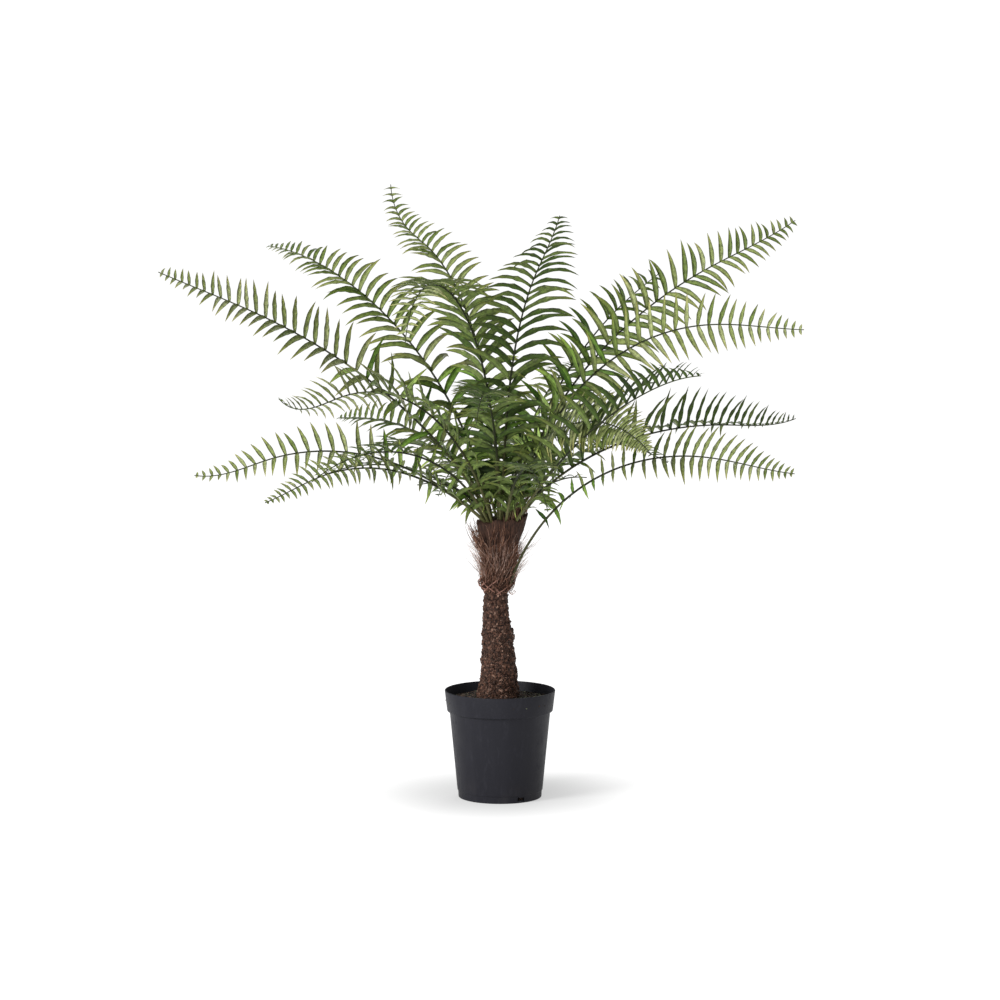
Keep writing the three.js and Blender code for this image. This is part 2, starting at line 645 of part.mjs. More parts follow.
const potPlastic = new THREE.MeshStandardMaterial({ color: 0x2e2e33, roughness: 0.55, metalness: 0 });
const pottingBark = new THREE.MeshStandardMaterial({ color: 0x3a2c22, roughness: 0.95, metalness: 0 });
const trunkBark = new THREE.MeshStandardMaterial({ color: 0x4a3830, roughness: 0.9, metalness: 0 });
const coirFibre = new THREE.MeshStandardMaterial({ color: 0x4a372d, roughness: 0.95, metalness: 0 });
const fernPlastic = new THREE.MeshStandardMaterial({ color: 0x4f7336, roughness: 0.5, metalness: 0 });

const trunk = makeTrunk();
const sheath = makeSheath();
addPart('pot', geometryOf(makePot()), potPlastic);
addPart('potting_fill', geometryOf(makeFill()), pottingBark);
addPart('trunk', geometryOf(trunk), trunkBark);
addPart('crown_sheath', geometryOf(sheath), coirFibre);

const clearanceRings = sheathRings(GAP);
clearanceRings[clearanceRings.length - 1].forEach((point) => {
  point.z += GAP;
});
const crownClearance = lofted(clearanceRings, true);
const fronds = FRONDS.map(makeFrond);
const occupied = fronds.map((frond) => {
  const solid = bareStem(frond, STEM_MARGIN);
  return { stemOf: frond, box: boxOf(solid), solid };
});
occupied.push({ box: boxOf(crownClearance), solid: crownClearance });
occupied.push({ box: boxOf(sheath), solid: sheath });
for (const frond of fronds) {
  const whole = solidOf(frondGeometry(frond, settleLeaves(frond, occupied)));
  const [cut] = whole.subtract(crownClearance).decompose().sort((a, b) => b.volume() - a.volume());
  addPart(frond.name, geometryOf(cut), fernPlastic);
}

export default fern;
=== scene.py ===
"""An artificial tree fern: plastic fronds on a bark-covered pole, wrapped in coir at the crown
and set in a filled nursery pot. Metres, +Z up, with -Y to the front, made from the pot upwards."""

import itertools
import math
import random

import bmesh
import bpy
from mathutils import Matrix, Vector, noise


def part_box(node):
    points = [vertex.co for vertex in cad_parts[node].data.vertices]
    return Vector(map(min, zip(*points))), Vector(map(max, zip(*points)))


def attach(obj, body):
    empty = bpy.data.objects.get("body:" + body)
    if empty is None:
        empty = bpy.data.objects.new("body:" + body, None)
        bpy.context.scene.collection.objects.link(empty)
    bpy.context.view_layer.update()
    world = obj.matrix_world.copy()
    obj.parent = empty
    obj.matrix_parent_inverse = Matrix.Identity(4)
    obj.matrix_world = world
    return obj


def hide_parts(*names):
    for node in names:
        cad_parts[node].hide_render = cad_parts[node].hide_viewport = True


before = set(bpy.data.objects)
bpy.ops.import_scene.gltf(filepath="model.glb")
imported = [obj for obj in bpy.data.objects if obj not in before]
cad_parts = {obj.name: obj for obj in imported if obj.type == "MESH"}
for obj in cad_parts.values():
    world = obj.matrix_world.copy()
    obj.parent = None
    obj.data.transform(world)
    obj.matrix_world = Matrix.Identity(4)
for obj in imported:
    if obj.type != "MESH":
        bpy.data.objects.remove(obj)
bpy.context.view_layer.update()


# Studio: a white floor under a white sky, with a broad soft lamp high on the left, a low one in
# front, a weak one on the right and one behind. The floor glows, and glows less round the pot's
# foot: that dimmer ring is a painted shadow. The camera stands across the room, a little above the
# crown.

CAMERA_PLACE = (0, -6.87, 1.36)
CAMERA_DIP = 7.02  # degrees below level
CAMERA_LENS = 145.9
FLOOR_REACH = 300
FLOOR_GREY = 0.25
FLOOR_GLOW_AND_SHADOW = (0.5, 0.95)  # how brightly the floor glows by the pot, in its painted shadow, and away from it
SHADOW_SPOT_BACK = 0.025  # the painted shadow's darkest spot is this far behind the pot's middle
SHADOW_FADE = (0.06, 0.33)  # the painted shadow fades out, and the glow grows, between these distances from it
SKY_LIGHT = 0.36
SKY_SEEN = 1.1
LAMPS = [  # name, place, size across, watts
    ("key_lamp", (-3.5, -2.7, 3.1), 1.9, 275),
    ("fill_lamp", (3.0, -2.6, 1.7), 2.4, 5),
    ("front_lamp", (-1.6, -4.1, 0.7), 1.8, 54),
    ("back_lamp", (0.9, 3.2, 3.2), 2.2, 55),
]
LAMP_AIM = Vector((0, 0, 0.55))


class Wire:
    """What a node gives out. Sums on it add the Math nodes that work them out."""

    def __init__(self, board, socket):
        self.board = board
        self.socket = socket

    def beside(self, name):
        """Another thing that the same node gives out."""
        return Wire(self.board, self.board.socket(self.socket.node.outputs, name))

    def worked(self, operation, *terms):
        terms = dict(enumerate(terms or (self,)))
        return self.board.node("ShaderNodeMath", {"operation": operation}, terms)

    def __add__(self, other):
        return self.worked("ADD", self, other)

    def __radd__(self, other):
        return self.worked("ADD", other, self)

    def __sub__(self, other):
        return self.worked("SUBTRACT", self, other)

    def __rsub__(self, other):
        return self.worked("SUBTRACT", other, self)

    def __mul__(self, other):
        return self.worked("MULTIPLY", self, other)

    def __rmul__(self, other):
        return self.worked("MULTIPLY", other, self)

    def __pow__(self, other):
        return self.worked("POWER", self, other)

    def __abs__(self):
        return self.worked("ABSOLUTE")

    def between(self, low, high):
        """0 where this is under low, 1 over high, and a smooth step between."""
        ends = {"Value": self, "From Min": low, "From Max": high}
        return self.board.node("ShaderNodeMapRange", {"interpolation_type": "SMOOTHSTEP"}, ends)


class Board:
    """A node tree that is wired up a node at a time."""

    def __init__(self, tree):
        self.tree = tree

    def node(self, kind, settings=None, values=None, output=0):
        made = self.tree.nodes.new(kind)
        for name, value in (settings or {}).items():
            setattr(made, name, value)
        for key, value in (values or {}).items():
            self.fill(self.socket(made.inputs, key), value)
        return Wire(self, self.socket(made.outputs, output))

    def socket(self, sockets, key):
        shown = [s for s in sockets if s.enabled]
        return shown[key] if isinstance(key, int) else next(s for s in shown if s.name == key)

    def fill(self, socket, value):
        if isinstance(value, Wire):
            self.tree.links.new(value.socket, socket)
        else:
            socket.default_value = value


scene = bpy.context.scene
scene.view_settings.view_transform = "Standard"

camera = bpy.data.objects.new("camera", bpy.data.cameras.new("camera"))
camera.location = CAMERA_PLACE
camera.rotation_euler = (math.radians(90 - CAMERA_DIP), 0, 0)
camera.data.lens = CAMERA_LENS
camera.data.clip_end = 2 * FLOOR_REACH
scene.collection.objects.link(camera)
scene.camera = camera

for name, place, across, watts in LAMPS:
    lamp = bpy.data.objects.new(name, bpy.data.lights.new(name, "AREA"))
    lamp.data.shape = "DISK"
    lamp.data.size = across
    lamp.data.energy = watts
    lamp.location = place
    lamp.rotation_euler = (LAMP_AIM - Vector(place)).to_track_quat("-Z", "Y").to_euler()
    scene.collection.objects.link(lamp)

sky = bpy.data.worlds.new("sky")
sky.use_nodes = True
scene.world = sky
sky_light = sky.node_tree.nodes["Background"]
sky_light.inputs["Color"].default_value = (1, 1, 1, 1)
sky_board = Board(sky.node_tree)
seen = sky_board.node("ShaderNodeLightPath", output="Is Camera Ray")
sky_ends = {"Value": seen, "To Min": SKY_LIGHT, "To Max": SKY_SEEN}
sky_board.fill(sky_light.inputs["Strength"], sky_board.node("ShaderNodeMapRange", {}, sky_ends))

floor_mesh = bpy.data.meshes.new("floor")
floor_corners = [(x * FLOOR_REACH, y * FLOOR_REACH, 0) for x, y in ((-1, -1), (1, -1), (1, 1), (-1, 1))]
floor_mesh.from_pydata(floor_corners, [], [(0, 1, 2, 3)])
floor_paint = bpy.data.materials.new("floor_paint")
floor_paint.use_nodes = True
floor_shader = floor_paint.node_tree.nodes["Principled BSDF"]
floor_shader.inputs["Base Color"].default_value = (FLOOR_GREY, FLOOR_GREY, FLOOR_GREY, 1)
floor_shader.inputs["Roughness"].default_value = 1
floor_shader.inputs["Specular IOR Level"].default_value = 0
floor_shader.inputs["Emission Strength"].default_value = 1
# The floor's glow is dimmest round the pot's foot: a painted shadow.
floor_board = Board(floor_paint.node_tree)
shadow_spots = {0: floor_board.node("ShaderNodeTexCoord", output="Object"), 1: (0, SHADOW_SPOT_BACK, 0)}
shadowed_glow_ends = {
    "Value": floor_board.node("ShaderNodeVectorMath", {"operation": "DISTANCE"}, shadow_spots, "Value"),
    "From Min": SHADOW_FADE[0],
    "From Max": SHADOW_FADE[1],
    "To Min": FLOOR_GLOW_AND_SHADOW[0],
    "To Max": FLOOR_GLOW_AND_SHADOW[1],
}
shadowed_glow = floor_board.node("ShaderNodeMapRange", {"interpolation_type": "SMOOTHSTEP"}, shadowed_glow_ends)
floor_board.fill(floor_shader.inputs["Emission Color"], shadowed_glow)
floor_mesh.materials.append(floor_paint)
floor = bpy.data.objects.new("floor", floor_mesh)
scene.collection.objects.link(floor)


# Pot: the nursery pot, one thin moulding of black plastic with an upright rim band, a recessed
# foot ring and three drain slots. It stands on its flat underside and carries the whole plant.

pot_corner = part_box("pot")[1]
POT_HEIGHT = pot_corner.z
RIM_RADIUS = pot_corner.x
WALL = 0.0017
POT_FLOOR = 0.0032
FOOT_RADIUS = 0.0715
FOOT_FLARE = 0.0006
FOOT_HEIGHT = 0.012
FOOT_RING = 0.007  # the width of the ring that it stands on
RECESS_SLOPE = 0.002
FOOT_RECESS = 0.0012  # the middle of the underside stands this far off the ground
BODY_LOW = 0.0733
BODY_HIGH = 0.0866
BAND_BOTTOM = 0.150
BAND_LOW = 0.0908
LIP = 0.0008
CORNER = 0.001  # what the mould takes off an outer corner
WALL_STEP = 0.003  # the inside steps outwards from this far below the band's edge to above it
MOULDED_EDGE = 0.0005
EDGE_ANGLE = 25
SHARP_ANGLE = 40
POT_SIDES = 144
DRAIN_SLOTS = 3
DRAIN_FIRST_BEARING = 60
DRAIN_SIZE = (0.012, 0.012, 0.005)  # through the wall, along it, and its height
POT_BLACK = (28, 28, 34)
POT_WORN = (43, 43, 49)
POT_DUST = (58, 55, 53)


def shade(red, green, blue):
    """A colour as a shader takes it, from how it looks on a screen, 0 to 255."""
    parts = [part / 255 for part in (red, green, blue)]
    return (*(p / 12.92 if p <= 0.04045 else ((p + 0.055) / 1.055) ** 2.4 for p in parts), 1)


def toned(colour, factor, lift=0):
    """A lighter or darker tone of a colour, as a shader takes it."""
    return shade(*(min(255, part * factor + lift) for part in colour))


class Finish(Board):
    """A material, with its shader and the noises that its patterns are made from."""

    def __init__(self, name, colour, roughness, **fixed):
        self.material = bpy.data.materials.new(name)
        self.material.use_nodes = True
        super().__init__(self.material.node_tree)
        self.shader = self.tree.nodes["Principled BSDF"]
        self.put("Base Color", shade(*colour))
        self.put("Roughness", roughness)
        for socket, value in fixed.items():
            self.put(socket.replace("_", " "), value)
        self.place = self.node("ShaderNodeTexCoord", output="Object")

    def put(self, socket, value):
        self.fill(self.shader.inputs[socket], value)

    def speckle(self, scale, detail=2.0, stretch=(1, 1, 1)):
        """A cloudy noise from 0 to 1, with features about 1 / scale across, drawn out by stretch."""
        spot = self.node("ShaderNodeMapping", {}, {"Vector": self.place, "Scale": stretch})
        return self.node("ShaderNodeTexNoise", {}, {"Vector": spot, "Scale": scale, "Detail": detail})

    def blend(self, mask, first, second):
        """The first colour where the mask is 0 and the second where it is 1."""
        colours = {"Factor": mask, "A": first, "B": second}
        return self.node("ShaderNodeMix", {"data_type": "RGBA"}, colours)

    def relief(self, height, depth):
        bump = self.node("ShaderNodeBump", {}, {"Height": height, "Distance": depth, "Strength": 1.0})
        self.put("Normal", bump)


def around(centre, radius, angle, z):
    """A point on a level circle, whose centre lies on the X axis."""
    return Vector((centre + radius * math.cos(angle), radius * math.sin(angle), z))


def joined(shape, rings):
    """Faces between each ring of points and the next, where a ring can also be a single point."""
    for low, high in zip(rings, rings[1:]):
        for i in range(max(len(low), len(high))):
            j = i + 1
            corners = [low[i % len(low)], low[j % len(low)], high[j % len(high)], high[i % len(high)]]
            shape.faces.new(dict.fromkeys(corners))


def turned(profile, sides):
    """A surface turned about +Z from pairs of radius and height, with a single point on the axis."""
    shape = bmesh.new()
    rings = []
    for radius, z in profile:
        turns = [2 * math.pi * i / sides for i in range(sides if radius > 0 else 1)]
        rings.append([shape.verts.new(around(0, radius, turn, z)) for turn in turns])
    joined(shape, rings)
    return shape


def as_mesh(name, shape, smooth=True):
    for face in shape.faces:
        face.smooth = smooth
    mesh = bpy.data.meshes.new(name)
    shape.to_mesh(mesh)
    shape.free()
    return mesh


def shown(name, mesh, *finishes):
    """An object for the mesh, with its finishes, in the scene."""
    for finish in finishes:
        mesh.materials.append(finish.material)
    made = bpy.data.objects.new(name, mesh)
    scene.collection.objects.link(made)
    return made


def worked_out(source):
    """The object's mesh with its modifiers applied; the object itself goes."""
    graph = bpy.context.evaluated_depsgraph_get()
    mesh = bpy.data.meshes.new_from_object(source.evaluated_get(graph), depsgraph=graph)
    mesh.name = source.name
    bpy.data.objects.remove(source)
    return mesh


def body_radius(z):
    return BODY_LOW + (BODY_HIGH - BODY_LOW) * (z - FOOT_HEIGHT) / (BAND_BOTTOM - FOOT_HEIGHT)


def band_radius(z):
    return BAND_LOW + (RIM_RADIUS - BAND_LOW) * (z - BAND_BOTTOM) / (POT_HEIGHT - BAND_BOTTOM)


foot_inner = FOOT_RADIUS - WALL
body_inner = body_radius(BAND_BOTTOM - WALL_STEP) - WALL
band_inner = band_radius(BAND_BOTTOM + WALL_STEP) - WALL
pot_profile = [
    (0, FOOT_RECESS),
    (FOOT_RADIUS - FOOT_RING - RECESS_SLOPE, FOOT_RECESS),
    (FOOT_RADIUS - FOOT_RING, 0),
    (FOOT_RADIUS - CORNER, 0),
    (FOOT_RADIUS, CORNER),
    (FOOT_RADIUS + FOOT_FLARE, FOOT_HEIGHT),
    (BODY_LOW, FOOT_HEIGHT + CORNER),
    (body_radius(BAND_BOTTOM - CORNER), BAND_BOTTOM - CORNER),
    (BAND_LOW - LIP, BAND_BOTTOM),
    (band_radius(BAND_BOTTOM + LIP), BAND_BOTTOM + LIP),
    (RIM_RADIUS, POT_HEIGHT - LIP),
    (RIM_RADIUS - LIP, POT_HEIGHT),
    (RIM_RADIUS - WALL, POT_HEIGHT),
    (band_inner, BAND_BOTTOM + WALL_STEP),
    (body_inner, BAND_BOTTOM - WALL_STEP),
    (foot_inner, FOOT_HEIGHT),
    (foot_inner - CORNER, POT_FLOOR),
    (0, POT_FLOOR),
]
pot_blank = shown("pot_blank", as_mesh("pot_blank", turned(pot_profile, POT_SIDES)))

slots = bmesh.new()
drain_height = POT_FLOOR + CORNER + DRAIN_SIZE[2] / 2
for slot in range(DRAIN_SLOTS):
    bearing = math.radians(DRAIN_FIRST_BEARING + 360 * slot / DRAIN_SLOTS)
    corners = bmesh.ops.create_cube(slots, size=1)["verts"]
    bmesh.ops.scale(slots, vec=DRAIN_SIZE, verts=corners)
    bmesh.ops.translate(slots, vec=(FOOT_RADIUS, 0, drain_height), verts=corners)
    bmesh.ops.rotate(slots, matrix=Matrix.Rotation(bearing, 3, "Z"), verts=corners)
slot_cutter = shown("slot_cutter", as_mesh("slot_cutter", slots))
cut = pot_blank.modifiers.new("drain slots", "BOOLEAN")
cut.operation = "DIFFERENCE"
cut.solver = "EXACT"
cut.object = slot_cutter
edges = pot_blank.modifiers.new("moulded edges", "BEVEL")
edges.width = MOULDED_EDGE
edges.segments = 3
edges.limit_method = "ANGLE"
edges.angle_limit = math.radians(EDGE_ANGLE)
pot_mesh = worked_out(pot_blank)
bpy.data.objects.remove(slot_cutter)
pot_mesh.set_sharp_from_angle(angle=math.radians(SHARP_ANGLE))

pot_plastic = Finish("pot_plastic", POT_BLACK, 0.5, Specular_IOR_Level=0.15)
cloud = pot_plastic.speckle(28, 4)
streaks = pot_plastic.speckle(55, 3, (1, 1, 0.08))
scuffs = (pot_plastic.speckle(160, 5, (1, 1, 0.35)) ** 6 * 9).between(0.15, 0.9)
height_up = pot_plastic.node("ShaderNodeSeparateXYZ", {}, {"Vector": pot_plastic.place}, "Z")
dust = (1 - height_up.between(0.0, 0.05)) * cloud.between(0.45, 0.75)
wear = scuffs * 0.4 + streaks.between(0.4, 0.8) * 0.25
worn = pot_plastic.blend(wear, shade(*POT_BLACK), shade(*POT_WORN))
pot_plastic.put("Base Color", pot_plastic.blend(dust * 0.25, worn, shade(*POT_DUST)))
pot_plastic.put("Roughness", 0.4 + 0.22 * cloud + 0.15 * scuffs)
pot_plastic.relief(pot_plastic.speckle(900, 2) * 0.5 + streaks * 0.6, 0.0003)

pot = shown("nursery_pot", pot_mesh, pot_plastic)
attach(pot, "root")
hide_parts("pot")


# Potting mix: dark soil that fills the pot to just under its rim, with loose chips of bark and a
# few grey-green crumbs of dry moss lying on it. The pole stands in the middle.

MIX_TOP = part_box("potting_fill")[1].z
MIX_EDGE_DROP = 0.004
MIX_GAP = 0.0003
MIX_LUMPS = 0.0022
MIX_LUMPS_PER_METRE = 90
MIX_LUMPS_LEVEL = 0.37  # the level at which the lumps' noise is taken
MIX_SIDES = 96
MIX_TOP_RINGS = 16
MIX_TOP_FROM = BAND_BOTTOM + 0.005  # all of the fill above this height is its top
MIX_SOIL = (34, 26, 22)
CHIP_TONES = [(30, 24, 20), (52, 40, 33), (74, 60, 50), (40, 33, 28), (66, 68, 54), (24, 19, 17)]
CHIP_SHAPES = 5
CHIP_SWELL = (0.72, 1.12)
CHIP_FLATNESS = (0.72, 0.5)  # its width and its height, to its length
DENSEST = 1e6  # pieces on a square metre, before any that stand too close go
MOST_SHAPES = 99  # a shape is picked by a number up to this, counted round and round


class Growth(Board):
    """A Geometry Nodes tree that turns a host into many small pieces."""

    def __init__(self, name):
        super().__init__(bpy.data.node_groups.new(name, "GeometryNodeTree"))
        for way in ("INPUT", "OUTPUT"):
            self.tree.interface.new_socket("Geometry", in_out=way, socket_type="NodeSocketGeometry")
        self.host = self.node("NodeGroupInput")

    def chance(self, kind, low, high, seed):
        """A random value for each point or instance, between low and high."""
        ends = {"Min": low, "Max": high, "Seed": seed}
        return self.node("FunctionNodeRandomValue", {"data_type": kind}, ends)

    def noted(self, kind, name):
        return self.node("GeometryNodeInputNamedAttribute", {"data_type": kind}, {"Name": name})

    def sown(self, spacing, seed):
        """Points thrown on the host's faces, none closer together than the spacing."""
        thrown = {"Mesh": self.host, "Distance Min": spacing, "Density Max": DENSEST, "Seed": seed}
        apart = {"distribute_method": "POISSON"}
        return self.node("GeometryNodeDistributePointsOnFaces", apart, thrown)

    def aligned(self, axes, first, second):
        """A rotation that points the first of two axes, such as XZ, one way and the second another."""
        named = {"primary_axis": axes[0], "secondary_axis": axes[1]}
        ways = {"Primary Axis": first, "Secondary Axis": second}
        return self.node("FunctionNodeAxesToRotation", named, ways)

    def leant(self, facing, **angles):
        """A rotation turned further, about its own X, Y and Z."""
        euler = self.node("ShaderNodeCombineXYZ", {}, angles)
        turn = self.node("FunctionNodeEulerToRotation", {}, {"Euler": euler})
        both = {"Rotation": facing, "Rotate By": turn}
        return self.node("FunctionNodeRotateRotation", {"rotation_space": "LOCAL"}, both)

    def planted(self, points, shapes, number, turn, size):
        """The shape of that number, out of a collection, on each point."""
        choice = {"Collection": shapes, "Separate Children": True}
        placed = {
            "Points": points,
            "Instance": self.node("GeometryNodeCollectionInfo", {}, choice),
            "Pick Instance": True,
            "Instance Index": number,
            "Rotation": turn,
            "Scale": size,
        }
        return self.node("GeometryNodeInstanceOnPoints", {}, placed)

    def dealt(self, points, shapes, turn, size, finishes, seed):
        """Ends the tree, with a shape and a finish picked at random for each point."""
        instances = self.planted(points, shapes, self.chance("INT", 0, MOST_SHAPES, seed), turn, size)
        pick = self.chance("INT", 0, len(finishes) - 1, seed + 1)
        noting = {"data_type": "INT", "domain": "INSTANCE"}
        values = {"Geometry": instances, "Name": "tone", "Value": pick}
        marked = self.node("GeometryNodeStoreNamedAttribute", noting, values)
        self.finished(marked, self.noted("INT", "tone"), finishes)

    def finished(self, instances, code, finishes):
        """Ends the tree: real meshes, and for each whole number that code takes, its finish."""
        made = self.node("GeometryNodeRealizeInstances", {}, {"Geometry": instances})
        equal = {"data_type": "INT", "operation": "EQUAL"}
        for number, finish in enumerate(finishes):
            test = self.node("FunctionNodeCompare", equal, {"A": code, "B": number})
            dressed = {"Geometry": made, "Selection": test, "Material": finish.material}
            made = self.node("GeometryNodeSetMaterial", {}, dressed)
        leave = self.tree.nodes.new("NodeGroupOutput")
        self.tree.links.new(made.socket, leave.inputs["Geometry"])


def grown(name, host_mesh, growth):
    """The plain object that a growth makes from its host's mesh."""
    host = shown(name, host_mesh)
    host.modifiers.new("growth", "NODES").node_group = growth.tree
    return shown(name, worked_out(host))


def kit(name, meshes):
    """A collection of loose shapes for a tree to pick from; its objects aren't in the scene."""
    shapes = bpy.data.collections.new(name)
    for number, mesh in enumerate(meshes):
        shapes.objects.link(bpy.data.objects.new(f"{name}_{number:02d}", mesh))
    return shapes


def crumb(number):
    """An angular chip about 1 long, broken differently for each number."""
    dice = random.Random(number)
    shape = bmesh.new()
    bmesh.ops.create_icosphere(shape, subdivisions=1, radius=0.5)
    for vert in shape.verts:
        swell = dice.uniform(*CHIP_SWELL)
        wide, high = CHIP_FLATNESS
        vert.co = Vector((vert.co.x * swell, vert.co.y * swell * wide, vert.co.z * swell * high))
    return as_mesh(f"crumb_{number}", shape, smooth=False)


def scattered(name, bed, shapes, finishes, spacing, sizes, tilt, seed):
    """Chips thrown on a surface: they lie nearly flat on it, turned and sized at random."""
    tree = Growth(name)
    points = tree.sown(spacing, seed)
    lean = tree.chance("FLOAT", -1.0, 1.0, seed) * tilt
    roll = tree.chance("FLOAT", -1.0, 1.0, seed + 1) * tilt
    spin = tree.chance("FLOAT", 0.0, 2 * math.pi, seed + 2)
    laid = tree.leant(points.beside("Rotation"), X=lean, Y=roll, Z=spin)
    across = tree.chance("FLOAT", *sizes, seed + 3)
    size = tree.node("ShaderNodeCombineXYZ", {}, {"X": across, "Y": across, "Z": across})
    tree.dealt(points, shapes, laid, size, finishes, seed + 4)
    return grown(name, as_mesh(name, bed), tree)


def bark_finish(name, colour, roughness=0.75):
    """Dry bark: patchy colour, a coarse grain and a slight glint on its broken faces."""
    finish = Finish(name, colour, roughness, Specular_IOR_Level=0.2)
    patches = finish.speckle(260, 4).between(0.32, 0.68)
    finish.put("Base Color", finish.blend(patches, toned(colour, 0.62), toned(colour, 1.35, 8)))
    finish.put("Roughness", roughness - 0.25 * finish.speckle(700, 2).between(0.5, 0.8))
    finish.relief(finish.speckle(900, 5), 0.0012)
    return finish


def lumps(x, y, z):
    """How far a lumpy surface swells at a place, from -1 to 1, where lumps are about 1 apart."""
    return noise.fractal(Vector((x, y, z)), 1.0, 2.0, 3)


mix_edge = band_radius(MIX_TOP - MIX_EDGE_DROP) - WALL - MIX_GAP
mix_profile = [
    (0, POT_FLOOR + MIX_GAP),
    (foot_inner - CORNER - MIX_GAP, POT_FLOOR + MIX_GAP),
    (foot_inner - MIX_GAP, FOOT_HEIGHT),
    (body_inner - MIX_GAP, BAND_BOTTOM - WALL_STEP),
    (band_inner - MIX_GAP, BAND_BOTTOM + WALL_STEP),
    (mix_edge, MIX_TOP - MIX_EDGE_DROP),
]
for ring in range(1, MIX_TOP_RINGS + 1):
    out = 1 - ring / MIX_TOP_RINGS
    mix_profile.append((mix_edge * out, MIX_TOP - MIX_EDGE_DROP * out ** 3))
mix_shape = turned(mix_profile, MIX_SIDES)
for vert in mix_shape.verts:
    inside = 1 - math.hypot(vert.co.x, vert.co.y) / mix_edge
    if vert.co.z > MIX_TOP_FROM and inside > 0.001:
        spot = vert.co.xy * MIX_LUMPS_PER_METRE
        vert.co.z += MIX_LUMPS * lumps(spot.x, spot.y, MIX_LUMPS_LEVEL)
bmesh.ops.recalc_face_normals(mix_shape, faces=mix_shape.faces)
chip_bed = mix_shape.copy()
buried = [f for f in chip_bed.faces if f.normal.z < 0.5 or f.calc_center_median().z < MIX_TOP_FROM]
bmesh.ops.delete(chip_bed, geom=buried, context="FACES")

soil = bark_finish("potting_soil", MIX_SOIL, 0.95)
mix = shown("potting_mix", as_mesh("potting_mix", mix_shape), soil)

crumbs = kit("crumb", [crumb(number) for number in range(CHIP_SHAPES)])
chip_finishes = [bark_finish(f"potting_chip_{i}", tone, 0.9) for i, tone in enumerate(CHIP_TONES)]
chip_rules = dict(spacing=0.0032, sizes=(0.004, 0.0095), tilt=0.5, seed=11)
chips = scattered("potting_chips", chip_bed, crumbs, chip_finishes, **chip_rules)
for piece in (mix, chips):
    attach(piece, "root")
    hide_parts("potting_fill")


# Trunk: a straight pole coated with glue and rolled in coarse dark bark grains, wider at its foot,
# leaning a little and narrowest where the coir begins. Its foot is sunk in the potting mix.

TRUNK_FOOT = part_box("trunk")[0].z
TRUNK_SINK = 0.006
NECK_HEIGHT = 0.352
TRUNK_SIDES = 72
TRUNK_STEP = 0.003
COAT_DEPTH = 0.0022  # the coat's outer face is this far inside the grains' tips
TRUNK_LUMPS = 0.0042
TRUNK_LUMPS_PER_METRE = 95
TRUNK_LINE = [  # height, centre x, radius
    (TRUNK_FOOT - TRUNK_SINK, -0.004, 0.0385),
    (TRUNK_FOOT, -0.004, 0.0375),
    (0.186, -0.003, 0.035),
    (0.203, -0.0022, 0.0326),
    (0.236, -0.002, 0.0296),
    (0.277, -0.0042, 0.027),
    (0.300, -0.006, 0.0252),
    (0.320, -0.0074, 0.0228),
    (0.340, -0.0078, 0.0206),
    (NECK_HEIGHT, -0.007, 0.0194),
    (NECK_HEIGHT + 0.02, -0.0065, 0.0185),
]
COAT_BROWN = (46, 31, 25)
GRAIN_TONES = [
    *((54, 35, 26), (68, 45, 34), (52, 35, 27), (76, 53, 43), (60, 40, 30), (44, 29, 23)),
    *((72, 48, 38), (52, 35, 27), (48, 32, 25), (58, 39, 30), (64, 43, 33), (102, 79, 67)),
]


def line_at(line, z):
    """The centre x and radius of a line of (height, centre x, radius) rows, at a height."""
    for (z0, x0, r0), (z1, x1, r1) in zip(line, line[1:]):
        if z <= z1:
            break
    share = (z - z0) / (z1 - z0)
    return x0 + (x1 - x0) * share, r0 + (r1 - r0) * share


def lofted(line, sides, step, spread, top=None):
    """Rings up a line; spread(angle, z, radius) gives each point's own radius. Open at both ends."""
    shape = bmesh.new()
    rows = math.ceil((line[-1][0] - line[0][0]) / step)
    rings = []
    for row in range(rows + 1):
        ring = []
        for side in range(sides):
            angle = 2 * math.pi * side / sides
            z = line[0][0] + (line[-1][0] - line[0][0]) * row / rows
            x, radius = line_at(line, z)
            radius = spread(angle, z, radius)
            height = z if top is None else z + top(angle) * (row / rows) ** 2
            ring.append(shape.verts.new(around(x, radius, angle, height)))
        rings.append(ring)
    joined(shape, rings)
    return shape, rings


def capped(shape, rings):
    """Closes a lofted shape with a flat fan at each end."""
    for ring, upward in ((rings[0], False), (rings[-1], True)):
        middle = shape.verts.new(sum((v.co for v in ring), Vector()) / len(ring))
        for one, other in zip(ring, ring[1:] + ring[:1]):
            shape.faces.new((one, other, middle) if upward else (other, one, middle))


def coat_radius(angle, z, radius):
    spot = around(0, radius, angle, z) * TRUNK_LUMPS_PER_METRE
    return radius - COAT_DEPTH + TRUNK_LUMPS * lumps(*spot)


trunk_shape, trunk_rings = lofted(TRUNK_LINE, TRUNK_SIDES, TRUNK_STEP, coat_radius)
grain_bed = trunk_shape.copy()
capped(trunk_shape, trunk_rings)
coat = bark_finish("trunk_coat", COAT_BROWN, 0.9)
trunk = shown("trunk_pole", as_mesh("trunk_pole", trunk_shape), coat)

grain_finishes = [bark_finish(f"trunk_grain_{i}", tone, 0.62) for i, tone in enumerate(GRAIN_TONES)]
grain_rules = dict(spacing=0.0024, sizes=(0.003, 0.0088), tilt=0.7, seed=31)
grains = scattered("trunk_grains", grain_bed, crumbs, grain_finishes, **grain_rules)
for piece in (trunk, grains):
    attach(piece, "root")
    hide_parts("trunk")


# Coir wrap: coconut fibre bound round the head of the pole like a vase, nearly upright strands
# over a felted core, shorter crossed ones round its neck, frayed ends that curl up and out, and a
# ragged top from which the fronds rise.

